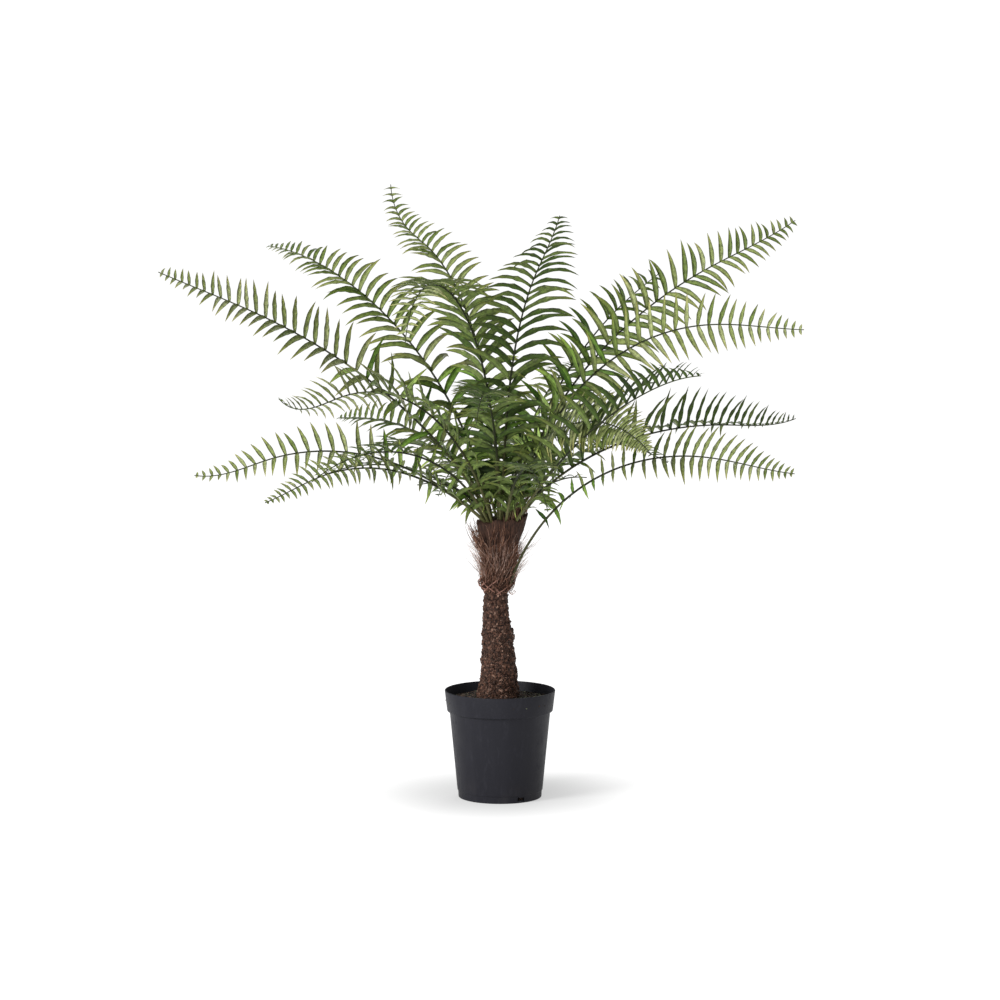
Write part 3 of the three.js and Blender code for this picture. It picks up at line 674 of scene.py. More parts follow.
wrap_low, wrap_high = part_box("crown_sheath")
CROWN_TOP = wrap_high.z
WRAP_SIDES = 96
WRAP_STEP = 0.004
WRAP_LINE = [  # height, centre x, radius
    (wrap_low.z, -0.006, 0.0205),
    (0.360, -0.0058, 0.0242),
    (0.372, -0.005, 0.0272),
    (0.390, -0.003, 0.0276),
    (0.407, -0.0015, 0.028),
    (0.423, -0.001, 0.0298),
    (0.440, -0.0002, 0.0352),
    (0.460, 0.002, 0.0425),
    (0.482, 0.004, 0.047),
]
WRAP_FELT = 0.003  # the felted core lies this far inside the strands
WRAP_RIDGES = 0.0016
RIDGES_AROUND = 7
RIDGES_PER_METRE = 22
WRAP_TOP_RISE = 0.008
STRAND_SHAPES = 8
STRAND_SEGMENTS = 7
STRAND_WIDTH = 0.0014
STRAND_SPREAD = (0.6, 1.3)  # the thinnest and the thickest one, to that width
STRAND_TAPER = 0.75  # how much of its thickness a strand loses at its tip
STRAND_WANDER = 4  # how many times its thickness a strand strays from its line
STRAND_BOW = 1.5
STRAND_ROWS = WRAP_LINE[2:7]  # the part of the wrap that long strands are rooted on
STRAND_TOP_RISE = 0.028
NECK_ROWS = WRAP_LINE[:4]  # and short crossed ones
FRAY_ROWS = WRAP_LINE[2:6]  # and frayed ones
FRAY_SIDES = 48
FRAY_WIDTH = 0.0006
FRAY_BOW = 5
FRAY_FIRST = 100  # frayed ends are numbered from here on, so that none is shaped like a strand
FELT_BROWN = (54, 36, 28)
STRAND_TONES = [
    *((92, 63, 49), (108, 76, 61), (70, 46, 35), (124, 93, 76)),
    *((80, 54, 42), (52, 33, 26), (98, 68, 53), (134, 105, 90)),
]
FRAY_TONES = [(122, 90, 74), (146, 116, 102), (92, 66, 54), (170, 144, 132)]


def wrap_top(angle):
    """The ragged upper edge: higher on the right, lower on the left."""
    return WRAP_TOP_RISE * (0.7 * math.cos(angle) + 0.6 * math.sin(3 * angle + 1) * math.cos(7 * angle))


def strand_top(angle):
    """The edge up to which long strands are rooted, also higher on the right."""
    return STRAND_TOP_RISE * max(-0.5, math.cos(angle))


def felt_radius(angle, z, radius):
    ridges = lumps(*around(0, RIDGES_AROUND, angle, z * RIDGES_PER_METRE))
    return radius - WRAP_FELT + WRAP_RIDGES * ridges


def strand(number, bow):
    """A fibre 1 long up +Z and about 1 thick, bent towards +X by bow thicknesses and unevenly bowed."""
    dice = random.Random(number)
    drift = [dice.uniform(-STRAND_WANDER, STRAND_WANDER) for _ in range(3)]
    shape = bmesh.new()
    rings = []
    for step in range(STRAND_SEGMENTS + 1):
        t = step / STRAND_SEGMENTS
        x = bow * t ** 2 + drift[0] * math.sin(math.pi * t)
        y = drift[1] * math.sin(math.pi * t) + drift[2] * math.sin(2 * math.pi * t)
        thick = 0.5 * (1 - STRAND_TAPER * t ** 3)
        corners = [2 * math.pi * k / 3 for k in range(3)]
        ring = [(x + thick * math.cos(a), y + thick * math.sin(a), t) for a in corners]
        rings.append([shape.verts.new(corner) for corner in ring])
    joined(shape, rings)
    shape.faces.new(rings[0][::-1])
    shape.faces.new(rings[-1])
    return as_mesh(f"strand_{number}", shape)


def rooted(name, bed, shapes, finishes, spacing, lengths, thickness, lean, lifts, seed):
    """Fibres rooted on a surface: each runs up the surface, leans to one side and lifts off it."""
    tree = Growth(name)
    points = tree.sown(spacing, seed)
    outward = points.beside("Normal")
    crossed = {"operation": "CROSS_PRODUCT"}
    level = tree.node("ShaderNodeVectorMath", crossed, {0: (0, 0, 1), 1: outward})
    upward = tree.node("ShaderNodeVectorMath", crossed, {0: outward, 1: level})
    aside = tree.chance("FLOAT", -1.0, 1.0, seed + 1) * lean
    lift = tree.chance("FLOAT", *lifts, seed + 2)
    laid = tree.leant(tree.aligned("ZX", upward, outward), X=aside, Y=lift)
    thick = thickness * tree.chance("FLOAT", *STRAND_SPREAD, seed + 3)
    length = tree.chance("FLOAT", *lengths, seed + 4)
    size = tree.node("ShaderNodeCombineXYZ", {}, {"X": thick, "Y": thick, "Z": length})
    tree.dealt(points, shapes, laid, size, finishes, seed + 5)
    return grown(name, as_mesh(name, bed), tree)


def fibre_finish(name, colour):
    """Coir: a dull, hairy brown, streaked along its length."""
    finish = Finish(name, colour, 0.85, Specular_IOR_Level=0.2)
    streak = finish.speckle(420, 3, (1, 1, 0.12))
    tones = (toned(colour, 0.66), toned(colour, 1.25, 6))
    finish.put("Base Color", finish.blend(streak.between(0.3, 0.7), *tones))
    finish.put("Roughness", 0.75 + 0.2 * streak)
    finish.relief(finish.speckle(1100, 3, (1, 1, 0.15)), 0.0006)
    return finish


wrap_shape, wrap_rings = lofted(WRAP_LINE, WRAP_SIDES, WRAP_STEP, felt_radius, wrap_top)
capped(wrap_shape, wrap_rings)
felt = fibre_finish("coir_felt", FELT_BROWN)
wrap = shown("coir_wrap", as_mesh("coir_wrap", wrap_shape), felt)

strand_finishes = [fibre_finish(f"coir_strand_{i}", tone) for i, tone in enumerate(STRAND_TONES)]
strand_bed, _ = lofted(STRAND_ROWS, WRAP_SIDES, WRAP_STEP, felt_radius, strand_top)
straight = kit("strand", [strand(number, STRAND_BOW) for number in range(STRAND_SHAPES)])
strand_rules = dict(spacing=0.0029, lengths=(0.032, 0.068), thickness=STRAND_WIDTH, seed=51)
strand_angles = dict(lean=0.1, lifts=(-0.02, 0.07))
strands = rooted("coir_strands", strand_bed, straight, strand_finishes, **strand_rules, **strand_angles)

neck_bed, _ = lofted(NECK_ROWS, WRAP_SIDES, WRAP_STEP, felt_radius)
neck_rules = dict(spacing=0.003, lengths=(0.012, 0.026), thickness=STRAND_WIDTH, seed=61)
neck_angles = dict(lean=0.6, lifts=(-0.12, 0.06))
neck = rooted("coir_neck", neck_bed, straight, strand_finishes, **neck_rules, **neck_angles)

fray_finishes = [fibre_finish(f"coir_fray_{i}", tone) for i, tone in enumerate(FRAY_TONES)]
fray_bed, _ = lofted(FRAY_ROWS, FRAY_SIDES, WRAP_STEP, felt_radius)
curled = kit("fray", [strand(FRAY_FIRST + number, FRAY_BOW) for number in range(STRAND_SHAPES)])
fray_rules = dict(spacing=0.0034, lengths=(0.022, 0.062), thickness=FRAY_WIDTH, seed=71)
fray_angles = dict(lean=0.35, lifts=(0.15, 0.84))
frays = rooted("coir_frays", fray_bed, curled, fray_finishes, **fray_rules, **fray_angles)
for piece in (wrap, strands, neck, frays):
    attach(piece, "root")
    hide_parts("crown_sheath")


# Coir knots: the twine that binds the wrap, crossed in coarse loops low on the left, with a small
# loose curl on the right, a twig caught on the left and two long fibres that have come away.

KNOT_LOOPS = [  # bearings from and to, heights from and to, how far it stands off, radius
    (196, 262, 0.382, 0.358, 0.004, 0.0012),
    (188, 238, 0.359, 0.379, 0.0055, 0.0013),
    (214, 278, 0.357, 0.383, 0.003, 0.0011),
    (176, 226, 0.378, 0.361, 0.007, 0.0012),
    (232, 200, 0.364, 0.352, 0.004, 0.0010),
    (248, 292, 0.374, 0.353, 0.0025, 0.0011),
    (182, 210, 0.368, 0.384, 0.008, 0.0010),
    (270, 318, 0.354, 0.368, 0.002, 0.0010),
    (30, 100, 0.372, 0.360, 0.003, 0.0011),
    (90, 150, 0.358, 0.376, 0.003, 0.0011),
]
LOOSE_ENDS = [  # from, to, bow, radius
    ((-0.030, -0.018, 0.441), (-0.050, -0.024, 0.444), 0.003, 0.0009),
    ((0.022, -0.012, 0.404), (0.070, -0.020, 0.452), -0.004, 0.0004),
    ((-0.034, -0.014, 0.436), (-0.058, -0.020, 0.480), -0.003, 0.0004),
    ((0.0135, -0.012, 0.361), (0.0265, -0.014, 0.3575), -0.006, 0.0009),
    ((0.0265, -0.014, 0.3575), (0.0205, -0.015, 0.3535), 0.004, 0.0008),
]
KNOT_STEPS = 12
KNOT_SIDES = 6
KNOT_BROWN = (124, 90, 78)


def dotted(name, points, links, **values):
    """A mesh of bare points and links that carries a value, or a vector, for each point."""
    mesh = bpy.data.meshes.new(name)
    mesh.from_pydata(points, links, [])
    for title, each in values.items():
        if isinstance(each[0], Vector):
            layer = mesh.attributes.new(title, "FLOAT_VECTOR", "POINT")
            layer.data.foreach_set("vector", list(itertools.chain(*each)))
        else:
            kind = "INT" if isinstance(each[0], int) else "FLOAT"
            mesh.attributes.new(title, kind, "POINT").data.foreach_set("value", each)
    return mesh


def in_a_row(first, steps):
    """A row of links, that many steps long, from the point numbered first."""
    return [(number, number + 1) for number in range(first, first + steps)]


def drawn(name, lines, sides, finish):
    """Round tubes along a mesh's links, as thick as each point's radius."""
    tree = Growth(name)
    circle = {"Resolution": sides, "Radius": 1.0}
    drawing = {
        "Curve": tree.node("GeometryNodeMeshToCurve", {}, {"Mesh": tree.host}),
        "Profile Curve": tree.node("GeometryNodeCurvePrimitiveCircle", {}, circle),
        "Scale": tree.noted("FLOAT", "radius"),
        "Fill Caps": True,
    }
    tubes = tree.node("GeometryNodeCurveToMesh", {}, drawing)
    tree.finished(tree.node("GeometryNodeSetShadeSmooth", {}, {"Geometry": tubes}), 0, [finish])
    return grown(name, lines, tree)


knot_points = []
knot_links = []
knot_radii = []
for bearing, other_bearing, height, other_height, stand_off, radius in KNOT_LOOPS:
    knot_links += in_a_row(len(knot_points), KNOT_STEPS)
    for step in range(KNOT_STEPS + 1):
        t = step / KNOT_STEPS
        angle = math.radians(bearing + (other_bearing - bearing) * t)
        z = height + (other_height - height) * t
        centre, reach = line_at(WRAP_LINE, max(z, wrap_low.z))
        reach += stand_off * math.sin(math.pi * t) - radius
        knot_points.append(around(centre, reach, angle, z))
        knot_radii.append(radius)
for start, end, bow, radius in LOOSE_ENDS:
    knot_links += in_a_row(len(knot_points), KNOT_STEPS)
    for step in range(KNOT_STEPS + 1):
        t = step / KNOT_STEPS
        lifted = Vector((0, 0, bow * math.sin(math.pi * t)))
        knot_points.append(Vector(start).lerp(Vector(end), t) + lifted)
        knot_radii.append(radius * (1 - 0.5 * t))
twine = fibre_finish("coir_twine", KNOT_BROWN)
knot_lines = dotted("coir_knots", knot_points, knot_links, radius=knot_radii)
knots = drawn("coir_knots", knot_lines, KNOT_SIDES, twine)
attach(knots, "root")
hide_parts("crown_sheath")


# Fronds: 30 sprays of green plastic, each a thin wired stem with a row of leaflets on both sides.
# They are pushed into the crown in tiers; one comes out of the wrap lower down, at the right.

NECK_FROND = "right_neck"
NECK_FROND_HEIGHT = 0.383
STEM_STEPS = 60
STEM_SIDES = 8
STEM_SUNK = 0.030  # how far a stem runs down into the wrap
STEM_THICK = 0.0026  # radius at the foot
STEM_THIN = 0.0008  # and at the tip
CURL_START = 0.75  # the tip curls beyond this share of the stem
ROLL_DONE = 0.3  # the blade has its full roll from this share on
LEAFLESS = 0.065  # the share of the stem below its first leaflets
LEAF_LEAST = 0.8  # how long the first leaflets are, to full ones
LEAF_GROWN = 0.2  # leaflets have their full length from this share on
NECK_LEAFLESS = 0.2  # the same three, for the frond at the neck
NECK_LEAST = 0.34
NECK_GROWN = 0.66
NECK_LIGHT = 2.2  # how light its first leaflets are
NECK_WIDER = 0.9  # and how much wider, to their width
NECK_TWIST = 0.9  # how much further, in radians, its blade is rolled at its foot
LEAF_LAST = 0.99
LEAF_PITCH = 0.0195
LEAF_CROWDING = 0.42  # by how much leaflets stand closer together towards the tip
LEAF_SHARE = 0.118  # longest leaflet to stem length
LEAF_SHORTER_FROM = 0.38  # beyond this share leaflets shorten
LEAF_SHORTER = 0.9  # until they have lost this much
LEAF_SHORTER_BEND = 2.3
LEAF_ANGLE = 80  # from the stem, on a level one
LEAF_UPRIGHT = 38  # how much less on an upright one
LEAF_TIP_LOSS = 10  # and at the tip
LOOSE_TO = 0.55  # below this share leaflets are knocked about
LOOSE_WIDER = 0.2  # and wider than the others
TIERS = ("high", "middle", "low")
CROWN_PAINTED_LIGHT = (3.0, 4.8, 5.4)  # how light the leaflets by the crown are, in each tier: painted light against the crown's shade
# Name, heading from +X, ring radius, rise and end slope, bend exponent, stem length, swing of the
# heading, curl of the tip, roll of the blade, fold of its leaflets, how far apart and how long they
# are, tier, and how light the outer leaflets are, 0 to 5.
FROND_ROWS = [
    ("left_high", 187, 0.024, 70, 17, 0.6, 0.720, 1, 7, -44, 28, 1, 1, 0, 4.4),
    ("left_back_high", 139, 0.024, 76, 10, 0.85, 0.735, -1, -7, -22, 26, 1, 1, 0, 3.4),
    ("back_left_tall", 117, 0.010, 85, -12, 1.45, 0.740, 2, 95, -16, 30, 1.1, 0.84, 0, 3.6),
    ("front_tall", 275, 0.010, 88, 23, 0.75, 0.700, 13, 25, 0, 12, 1.2, 1.3, 0, 3.4),
    ("right_high", 20, 0.022, 84, 13, 0.7, 0.755, 1, 19, 55, 26, 1.05, 1, 0, 3.6),
    ("right_arching", 342, 0.024, 76, -26, 1.3, 0.680, -1, 26, 72, 26, 1.08, 1, 0, 4.2),
    ("right_front_mid", 306, 0.040, 46, 12, 1.1, 0.595, -2, -6, 0, 52, 1.3, 1.3, 1, 2.6),
    ("right_back_low", 27, 0.036, 60, -14, 0.55, 0.590, 1, 31, -35, 44, 0.85, 1.25, 1, 2.8),
    ("right_neck", 327, 0.030, 68, -26, 0.95, 0.620, 8, 23, 45, 26, 0.88, 1.05, 2, 3.8),
    ("left_front_mid", 232, 0.030, 66, -35, 1.1, 0.675, 3, 75, -30, 28, 1.1, 0.95, 1, 4.6),
    ("left_back_mid", 137, 0.034, 69, -12, 0.7, 0.415, 0, 9, -24, 36, 0.9, 1.5, 1, 3),
    ("left_low", 191, 0.036, 43, -41, 1.25, 0.530, 0, 52, -38, 26, 1, 1, 2, 4.2),
    ("left_front_low", 215, 0.038, 38, -39, 1.4, 0.475, 2, 25, -30, 26, 0.75, 0.95, 2, 3.6),
    ("front_left_arching", 241, 0.014, 87, -46, 1.65, 0.740, 14, -26, 0, 20, 1, 1.15, 0, 5),
    ("right_back_high", 48, 0.020, 74, 20, 0.85, 0.585, 0, 3, 38, 26, 1.5, 1.2, 0, 1.8),
    ("front_right_low", 313, 0.027, 84, -36, 1, 0.430, 0, 0, 42, 16, 0.38, 1.6, 2, 4.4),
    ("front_mid", 262, 0.024, 80, -30, 1.1, 0.520, 4, 0, 0, 26, 1.15, 1.15, 1, 3),
    ("front_low", 280, 0.037, 54, -35, 1, 0.430, 0, 0, 0, 26, 1.35, 1.15, 2, 3),
    ("front_left_low", 222, 0.034, 58, -30, 1, 0.440, 0, 0, 0, 26, 1.3, 1.15, 2, 3),
    ("back_right_mid", 72, 0.022, 60, -2, 0.9, 0.520, 0, 0, 0, 26, 1, 1, 1, 3.2),
    ("back_mid", 97, 0.026, 52, -12, 0.9, 0.560, 0, 10, 0, 26, 1, 1, 1, 3.2),
    ("left_back_low", 158, 0.034, 50, -28, 0.9, 0.350, 0, 0, 0, 26, 1, 1.1, 2, 3),
    ("back_right_low", 52, 0.038, 44, -32, 1, 0.480, 0, 10, 0, 26, 1, 1.1, 2, 3.2),
    ("back_low", 82, 0.038, 42, -34, 1, 0.480, 0, 0, 0, 26, 1, 1.1, 2, 3.2),
    ("back_left_low", 122, 0.038, 44, -32, 1, 0.480, 0, 10, 0, 26, 1, 1.1, 2, 3.4),
    ("back_bottom", 105, 0.040, 36, -40, 1, 0.440, 0, 0, 0, 26, 1, 1.1, 2, 3),
    ("crown_front", 284, 0.030, 74, -14, 1, 0.230, 0, 0, 0, 24, 1.9, 2.1, 1, 4),
    ("crown_left", 203, 0.034, 68, -12, 1, 0.150, 0, 0, 0, 24, 1.3, 2.1, 1, 3.4),
    ("crown_right", 332, 0.034, 68, -4, 1, 0.160, 0, 0, 0, 24, 1.3, 2.1, 1, 3.2),
    ("crown_back", 112, 0.029, 58, -30, 1, 0.240, 0, 0, 0, 24, 1.3, 2.1, 1, 3.2),
]


class Frond:
    """A stem's path, and the way its blade faces at any share of its length."""

    def __init__(self, *row):
        self.name, self.heading, ring, self.rise, self.end, self.bend, self.length = row[:7]
        self.swing, self.curl, roll, self.fold, self.apart, self.leaf, self.tier, self.light = row[7:]
        self.roll = math.radians(roll)
        self.at_neck = self.name == NECK_FROND
        self.leafless = NECK_LEAFLESS if self.at_neck else LEAFLESS
        self.least = NECK_LEAST if self.at_neck else LEAF_LEAST
        self.grown = NECK_GROWN if self.at_neck else LEAF_GROWN
        # By the crown the leaflets are painted lighter, as painted light against its shade.
        self.foot_light = NECK_LIGHT if self.at_neck else CROWN_PAINTED_LIGHT[self.tier]
        self.wider = NECK_WIDER if self.at_neck else LOOSE_WIDER
        height = NECK_FROND_HEIGHT if self.at_neck else CROWN_TOP
        centre = line_at(WRAP_LINE, height)[0]
        spot = around(centre, ring, math.radians(self.heading), height)
        self.path = [spot]
        for step in range(STEM_STEPS):
            spot = spot + self.forward((step + 0.5) / STEM_STEPS) * self.length / STEM_STEPS
            self.path.append(spot)

    def forward(self, share):
        """The way that the stem runs."""
        tip = max(0, (share - CURL_START) / (1 - CURL_START))
        bent = self.rise + (self.end - self.rise) * share ** self.bend
        slope = math.radians(bent + self.curl * tip ** 2)
        heading = math.radians(self.heading + self.swing * share)
        level = math.cos(slope)
        return Vector((level * math.cos(heading), level * math.sin(heading), math.sin(slope)))

    def point(self, share):
        step = min(int(share * STEM_STEPS), STEM_STEPS - 1)
        return self.path[step].lerp(self.path[step + 1], share * STEM_STEPS - step)

    def facing(self, share):
        """The directions forward, to the left and up from the blade."""
        forward = self.forward(share)
        left = Vector((0, 0, 1)).cross(forward).normalized()
        roll = self.roll * min(1, share / ROLL_DONE)
        if self.at_neck:
            roll = self.roll + NECK_TWIST * max(0, 1 - share / LOOSE_TO)
        left.rotate(Matrix.Rotation(roll, 3, forward))
        return forward, left, forward.cross(left)

    def leaf_length(self, share):
        longest = self.length * LEAF_SHARE * self.leaf
        full = min(1, (share - self.leafless) / (self.grown - self.leafless))
        swell = self.least + (1 - self.least) * full ** 3
        outer = max(0, (share - LEAF_SHORTER_FROM) / (1 - LEAF_SHORTER_FROM))
        return longest * swell * (1 - LEAF_SHORTER * outer ** LEAF_SHORTER_BEND)


fronds = [Frond(*row) for row in FROND_ROWS]


# Frond stems: plastic over wire, drawn as one tapering tube each from deep in the wrap to the tip,
# tan-green where they leave the crown and dark further out.

NECK_SUNK = 0.012  # how far the neck frond's stem runs down into the wrap's side
NECK_STEM_FROM = 0.2  # that stem starts in the colour the others have at this share
STEM_TAPER_BEND = 0.8
STEM_FOOT = (92, 92, 56)
STEM_DARK = (38, 43, 25)
STEM_TIP = (64, 74, 40)
STEM_MOTTLE = (26, 28, 18)

stem_points = []
stem_links = []
stem_radii = []
stem_shares = []
for frond in fronds:
    below = frond.path[0] - frond.forward(0) * (NECK_SUNK if frond.at_neck else STEM_SUNK)
    rows = [(below, 0.0)] + [(spot, step / STEM_STEPS) for step, spot in enumerate(frond.path)]
    stem_links += in_a_row(len(stem_points), len(rows) - 1)
    for spot, share in rows:
        stem_points.append(spot)
        stem_radii.append(STEM_THICK + (STEM_THIN - STEM_THICK) * share ** STEM_TAPER_BEND)
        stem_shares.append(max(share, NECK_STEM_FROM) if frond.at_neck else share)

stem_green = Finish("stem_green", STEM_DARK, 0.5, Specular_IOR_Level=0.15)
along = stem_green.node("ShaderNodeAttribute", {"attribute_name": "share"}, output="Fac")
foot_on = stem_green.blend(along.between(0.03, 0.3), shade(*STEM_FOOT), shade(*STEM_DARK))
tip_on = stem_green.blend(along.between(0.6, 1.0) * 0.7, foot_on, shade(*STEM_TIP))
mottle = stem_green.speckle(380, 3).between(0.35, 0.7)
stem_green.put("Base Color", stem_green.blend(mottle * 0.35, tip_on, shade(*STEM_MOTTLE)))
stem_green.put("Roughness", 0.42 + 0.25 * mottle)
stem_green.relief(stem_green.speckle(800, 3), 0.0004)

stem_lines = dotted("frond_stems", stem_points, stem_links, radius=stem_radii, share=stem_shares)
stems = drawn("frond_stems", stem_lines, STEM_SIDES, stem_green)
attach(stems, "root")
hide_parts(*[f"frond_{frond.name}" for frond in fronds])


# Leaflets: pressed from green plastic, long and pointed, with a sunk midrib, wavy edges darkened by
# painted shade and a duller, darker underside, its darkness partly painted shade. They stand in
# pairs, folded up from the stem and drooping at their tips, and are yellower away from the crown.
# In the high tier they are also lighter further out; near the crown they are painted lighter, most
# in the lower tiers, as painted light against the crown's shade.

LEAF_SEGMENTS = 9
LEAF_BASE_WIDTH = 0.0043
LEAF_WIDTH_SHARE = 0.075
LEAF_WIDEST = 0.32  # the share of its length at which a leaflet is widest
LEAF_POINT_BEND = 1.55
UNIT_WIDTH = 0.16  # a unit leaflet's width to its length
LEAF_KEEL = 0.011  # its thickness under the midrib, to its length
LEAF_VEE = 0.5  # how far its edges stand above the midrib, to half its width
LEAF_WAVES = (2.2, 3.8)  # how many waves there are in its edges, at least and at most
LEAF_WAVE_HEIGHT = 0.2  # to half its width
LEAF_DROOPS = (8, 32, 56, 80)  # how far a leaflet bends down over its length, in degrees
LEAF_SWEEPS = (-72, -46, -22, 2)  # and towards the frond's tip, or away from it
DROOP_LEVEL = 54  # the droop of a leaflet that lies level, and of one that stands on edge
DROOP_EDGE = 16
SWEEP_LEVEL = 4
SWEEP_UPRIGHT = 78  # its own weight bends a leaflet of an upright frond back by this much
# Greens for leaflets near the crown; the palest two are raised as painted light for the shaded low
# crown.
CROWN_GREENS = [
    *((22, 44, 8), (39, 67, 16), (61, 93, 27)),
    *((88, 119, 44), (120, 148, 68), (156, 182, 99)),
]
OUTER_GREENS = [
    *((32, 52, 12), (50, 74, 18), (72, 92, 32)),
    *((95, 111, 54), (119, 130, 76), (142, 150, 101)),
]
# Underside greens, darker than the tops: partly the plastic's own duller tone, partly painted shade.
UNDERSIDE_GREENS = [(38, 55, 17), (58, 77, 28), (90, 106, 52)]
LEAF_TONES = len(OUTER_GREENS)
UNDERSIDE = 2 * LEAF_TONES  # added to a leaflet's tone on the faces of its underside
OUTER_FROM = 0.36  # leaflets are yellower beyond this share of the stem
LIGHT_DONE = 0.6  # and as light as the frond's outer ones from here on
TOP_ROUGHNESS = 0.3
UNDER_ROUGHNESS = 0.55
TOP_RIB = 0.5  # how much paler the midrib is
UNDER_RIB = 0.35
LEAF_VEINS = 190
LEAF_VEIN_SLANT = 26
LEAF_RANDOM = 5
LENGTH_STRAY = (0.94, 1.05)  # chance makes a leaflet this much shorter or longer
OUTER_STRAY = 0.08  # and yellower this much sooner or later
ANGLE_STRAY = (3, 18)  # the spread of its angle in degrees, and what is added by the crown
FOLD_STRAY = (4, 27)
DROOP_STRAY = (8, 20)
SWEEP_STRAY = (5, 12)
TONE_STRAY = (0.5, 0.9)


def leaf_half_width(t):
    """Half of a leaflet's width at a share of its length, where 1 is its widest."""
    if t < LEAF_WIDEST:
        return 0.5 + 0.5 * math.sin(math.pi / 2 * t / LEAF_WIDEST)
    return max(0, 1 - ((t - LEAF_WIDEST) / (1 - LEAF_WIDEST)) ** LEAF_POINT_BEND)


def leaflet(number, side, droop, sweep):
    """A leaflet 1 long from the origin along +X, top up, swept to +Y, or to -Y for side -1."""
    dice = random.Random(number)
    waves = dice.uniform(*LEAF_WAVES)
    start = dice.random()
    shape = bmesh.new()
    pattern = shape.loops.layers.uv.new("leaf")
    under = shape.faces.layers.int.new("under")
    spot = Vector()
    rows = []
    for step in range(LEAF_SEGMENTS + 1):
        t = step / LEAF_SEGMENTS
        half = UNIT_WIDTH / 2 * leaf_half_width(t)
        swept = Matrix.Rotation(math.radians(sweep * t), 3, "Z")
        turn = swept @ Matrix.Rotation(math.radians(droop * t), 3, "Y")
        ripple = LEAF_WAVE_HEIGHT * half * math.sin(2 * math.pi * (waves * t + start))
        keel = LEAF_KEEL * (0.5 + 0.5 * leaf_half_width(t))
        edge = LEAF_VEE * half
        section = [
            (-half, edge + ripple),
            (-half / 2, 0.6 * edge),
            (0, 0),
            (half / 2, 0.6 * edge),
            (half, edge - ripple),
            (0, -keel),
        ]
        if step == LEAF_SEGMENTS:
            section = [(0, 0)]
        rows.append([shape.verts.new(spot + turn @ Vector((0, y, z))) for y, z in section])
        spot = spot + turn @ Vector((1 / LEAF_SEGMENTS, 0, 0))
    for step, (near, far) in enumerate(zip(rows, rows[1:])):
        for k in range(6):
            j = (k + 1) % 6
            corners = [near[k], near[j], far[j % len(far)], far[k % len(far)]]
            face = shape.faces.new(dict.fromkeys(corners))
            face[under] = 1 if k > 3 else 0
            for loop in face.loops:
                row = near if loop.vert in near else far
                place = row.index(loop.vert) if len(row) > 1 else 2
                across = (-1, -0.5, 0, 0.5, 1, 0)[place]
                loop[pattern].uv = ((step + (row is far)) / LEAF_SEGMENTS, 0.5 + across / 2)
    shape.faces.new(rows[0])
    for near, far in zip(rows, rows[1:-1]):
        for rim in (0, 4):
            shape.edges.get((near[rim], far[rim])).smooth = False
    if side < 0:
        bmesh.ops.scale(shape, vec=(1, -1, 1), verts=shape.verts)
    bmesh.ops.recalc_face_normals(shape, faces=shape.faces)
    return as_mesh(f"leaflet_{number}", shape)


def leaf_finish(name, colour, roughness, rib_paler):
    """Moulded leaf plastic: a paler midrib and tip, slanting veins, soft uneven gloss and painted edge
    shade.
    """
    finish = Finish(name, colour, roughness, Specular_IOR_Level=0.22)
    pattern = finish.node("ShaderNodeUVMap", {"uv_map": "leaf"})
    outward = finish.node("ShaderNodeSeparateXYZ", {}, {"Vector": pattern}, "X")
    across = abs(outward.beside("Y") - 0.5) * 2
    rib = 1 - across.between(0.04, 0.2)
    vein = (outward * LEAF_VEINS - across * LEAF_VEIN_SLANT).worked("SINE")
    mottle = finish.speckle(150, 3).between(0.3, 0.7)
    tip = shade(min(255, colour[0] * 1.3 + 6), min(255, colour[1] * 1.16 + 4), colour[2])
    body = finish.blend(mottle, toned(colour, 0.8), toned(colour, 1.12))
    tipped = finish.blend(outward.between(0.5, 1.0) * 0.6, body, tip)
    # The edges are darkened towards half tone: painted shade.
    shade_edged = finish.blend(across.between(0.5, 1.0) * 0.8, tipped, toned(colour, 0.5))
    finish.put("Base Color", finish.blend(rib * rib_paler, shade_edged, toned(colour, 1.3, 8)))
    finish.put("Roughness", roughness + 0.14 * mottle)
    finish.relief(vein * 0.35 - rib, 0.00025)
    return finish


top_finishes = [
    leaf_finish(f"leaf_green_{number}", colour, TOP_ROUGHNESS, TOP_RIB)
    for number, colour in enumerate(CROWN_GREENS + OUTER_GREENS)
]
under_finishes = [
    leaf_finish(f"leaf_under_{number}", colour, UNDER_ROUGHNESS, UNDER_RIB)
    for number, colour in enumerate(UNDERSIDE_GREENS)
]
paired_finishes = [under_finishes[tone % LEAF_TONES // 2] for tone in range(UNDERSIDE)]

leaf_forms = itertools.product((1, -1), LEAF_DROOPS, LEAF_SWEEPS)
leaf_kit = kit("leaflet", [leaflet(number, *form) for number, form in enumerate(leaf_forms)])
leaf_tree = Growth("leaflets")
leaf_ways = [leaf_tree.noted("FLOAT_VECTOR", way) for way in ("outward", "topward")]
leaves = leaf_tree.planted(
    leaf_tree.host,
    leaf_kit,
    leaf_tree.noted("INT", "shape"),
    leaf_tree.aligned("XZ", *leaf_ways),
    leaf_tree.noted("FLOAT_VECTOR", "size"),
)
leaf_code = leaf_tree.noted("INT", "tone") + leaf_tree.noted("INT", "under") * UNDERSIDE
leaf_tree.finished(leaves, leaf_code, top_finishes + paired_finishes)


def pairs_up(frond):
    """How far up its stem each pair of the frond's leaflets stands, as a share of its length."""
    pairs = round(frond.length * (1 - frond.leafless) / (LEAF_PITCH * frond.apart))
    for pair in range(pairs):
        place = pair / (pairs - 1)
        place += LEAF_CROWDING * place * (1 - place)
        yield frond.leafless + (LEAF_LAST - frond.leafless) * place


def stray(spread, loose):
    """A departure by chance: a spread's first number wide, wider by its second where it is loose."""
    return dice.gauss(0, spread[0] + spread[1] * loose)


def nearest(value, choices):
    return min(range(len(choices)), key=lambda i: abs(choices[i] - value))


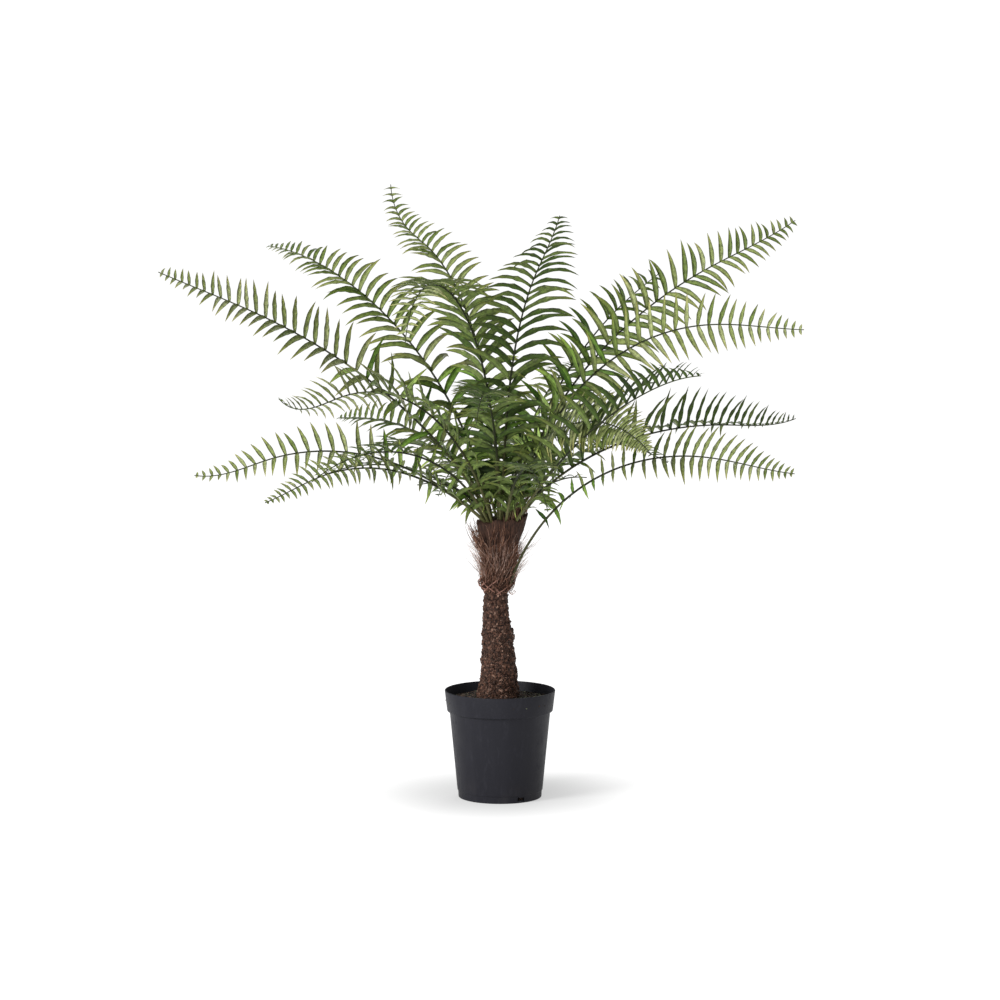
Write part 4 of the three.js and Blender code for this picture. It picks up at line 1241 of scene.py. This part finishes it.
def leaflet_on(frond, share, side):
    """A leaflet's root, where it and its top point, its size, its tone and the shape it takes."""
    loose = max(0, 1 - share / LOOSE_TO)
    forward, left, up = frond.facing(share)
    length = frond.leaf_length(share) * dice.uniform(*LENGTH_STRAY)
    lean = LEAF_UPRIGHT * max(0, forward.z) + LEAF_TIP_LOSS * share ** 2
    angle = math.radians(LEAF_ANGLE - lean + stray(ANGLE_STRAY, loose))
    fold = math.radians(frond.fold + stray(FOLD_STRAY, loose))
    level = forward * math.cos(angle) + left * side * math.sin(angle)
    outward = level * math.cos(fold) + up * math.sin(fold)
    topward = up * math.cos(fold) - level * math.sin(fold)
    droop = DROOP_EDGE + (DROOP_LEVEL - DROOP_EDGE) * abs(topward.z) + stray(DROOP_STRAY, loose)
    sweep = SWEEP_LEVEL - SWEEP_UPRIGHT * forward.z + stray(SWEEP_STRAY, loose)
    shape = nearest(droop, LEAF_DROOPS) * len(LEAF_SWEEPS) + nearest(sweep, LEAF_SWEEPS)
    other_hand = len(LEAF_DROOPS) * len(LEAF_SWEEPS) if side > 0 else 0
    width = LEAF_BASE_WIDTH + LEAF_WIDTH_SHARE * length / frond.leaf ** 0.5
    size = Vector((length, width * (1 + frond.wider * loose) / UNIT_WIDTH, length))
    # Towards the crown the tone rises: painted light against the crown's shade.
    light = frond.foot_light + (frond.light - frond.foot_light) * min(1, share / LIGHT_DONE)
    tone = max(0, min(LEAF_TONES - 1, round(light + stray(TONE_STRAY, loose))))
    kinship = LEAF_TONES if share + dice.gauss(0, OUTER_STRAY) > OUTER_FROM else 0
    return frond.point(share), outward, topward, size, kinship + tone, shape + other_hand


dice = random.Random(LEAF_RANDOM)
for tier, tier_name in enumerate(TIERS):
    growing = [frond for frond in fronds if frond.tier == tier]
    placed = [leaflet_on(f, share, side) for f in growing for share in pairs_up(f) for side in (1, -1)]
    roots, *columns = zip(*placed)
    values = dict(zip(("outward", "topward", "size", "tone", "shape"), columns))
    title = f"leaflets_{tier_name}"
    blades = grown(title, dotted(title, roots, [], **values), leaf_tree)
    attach(blades, "root")
    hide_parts(*[f"frond_{frond.name}" for frond in growing])
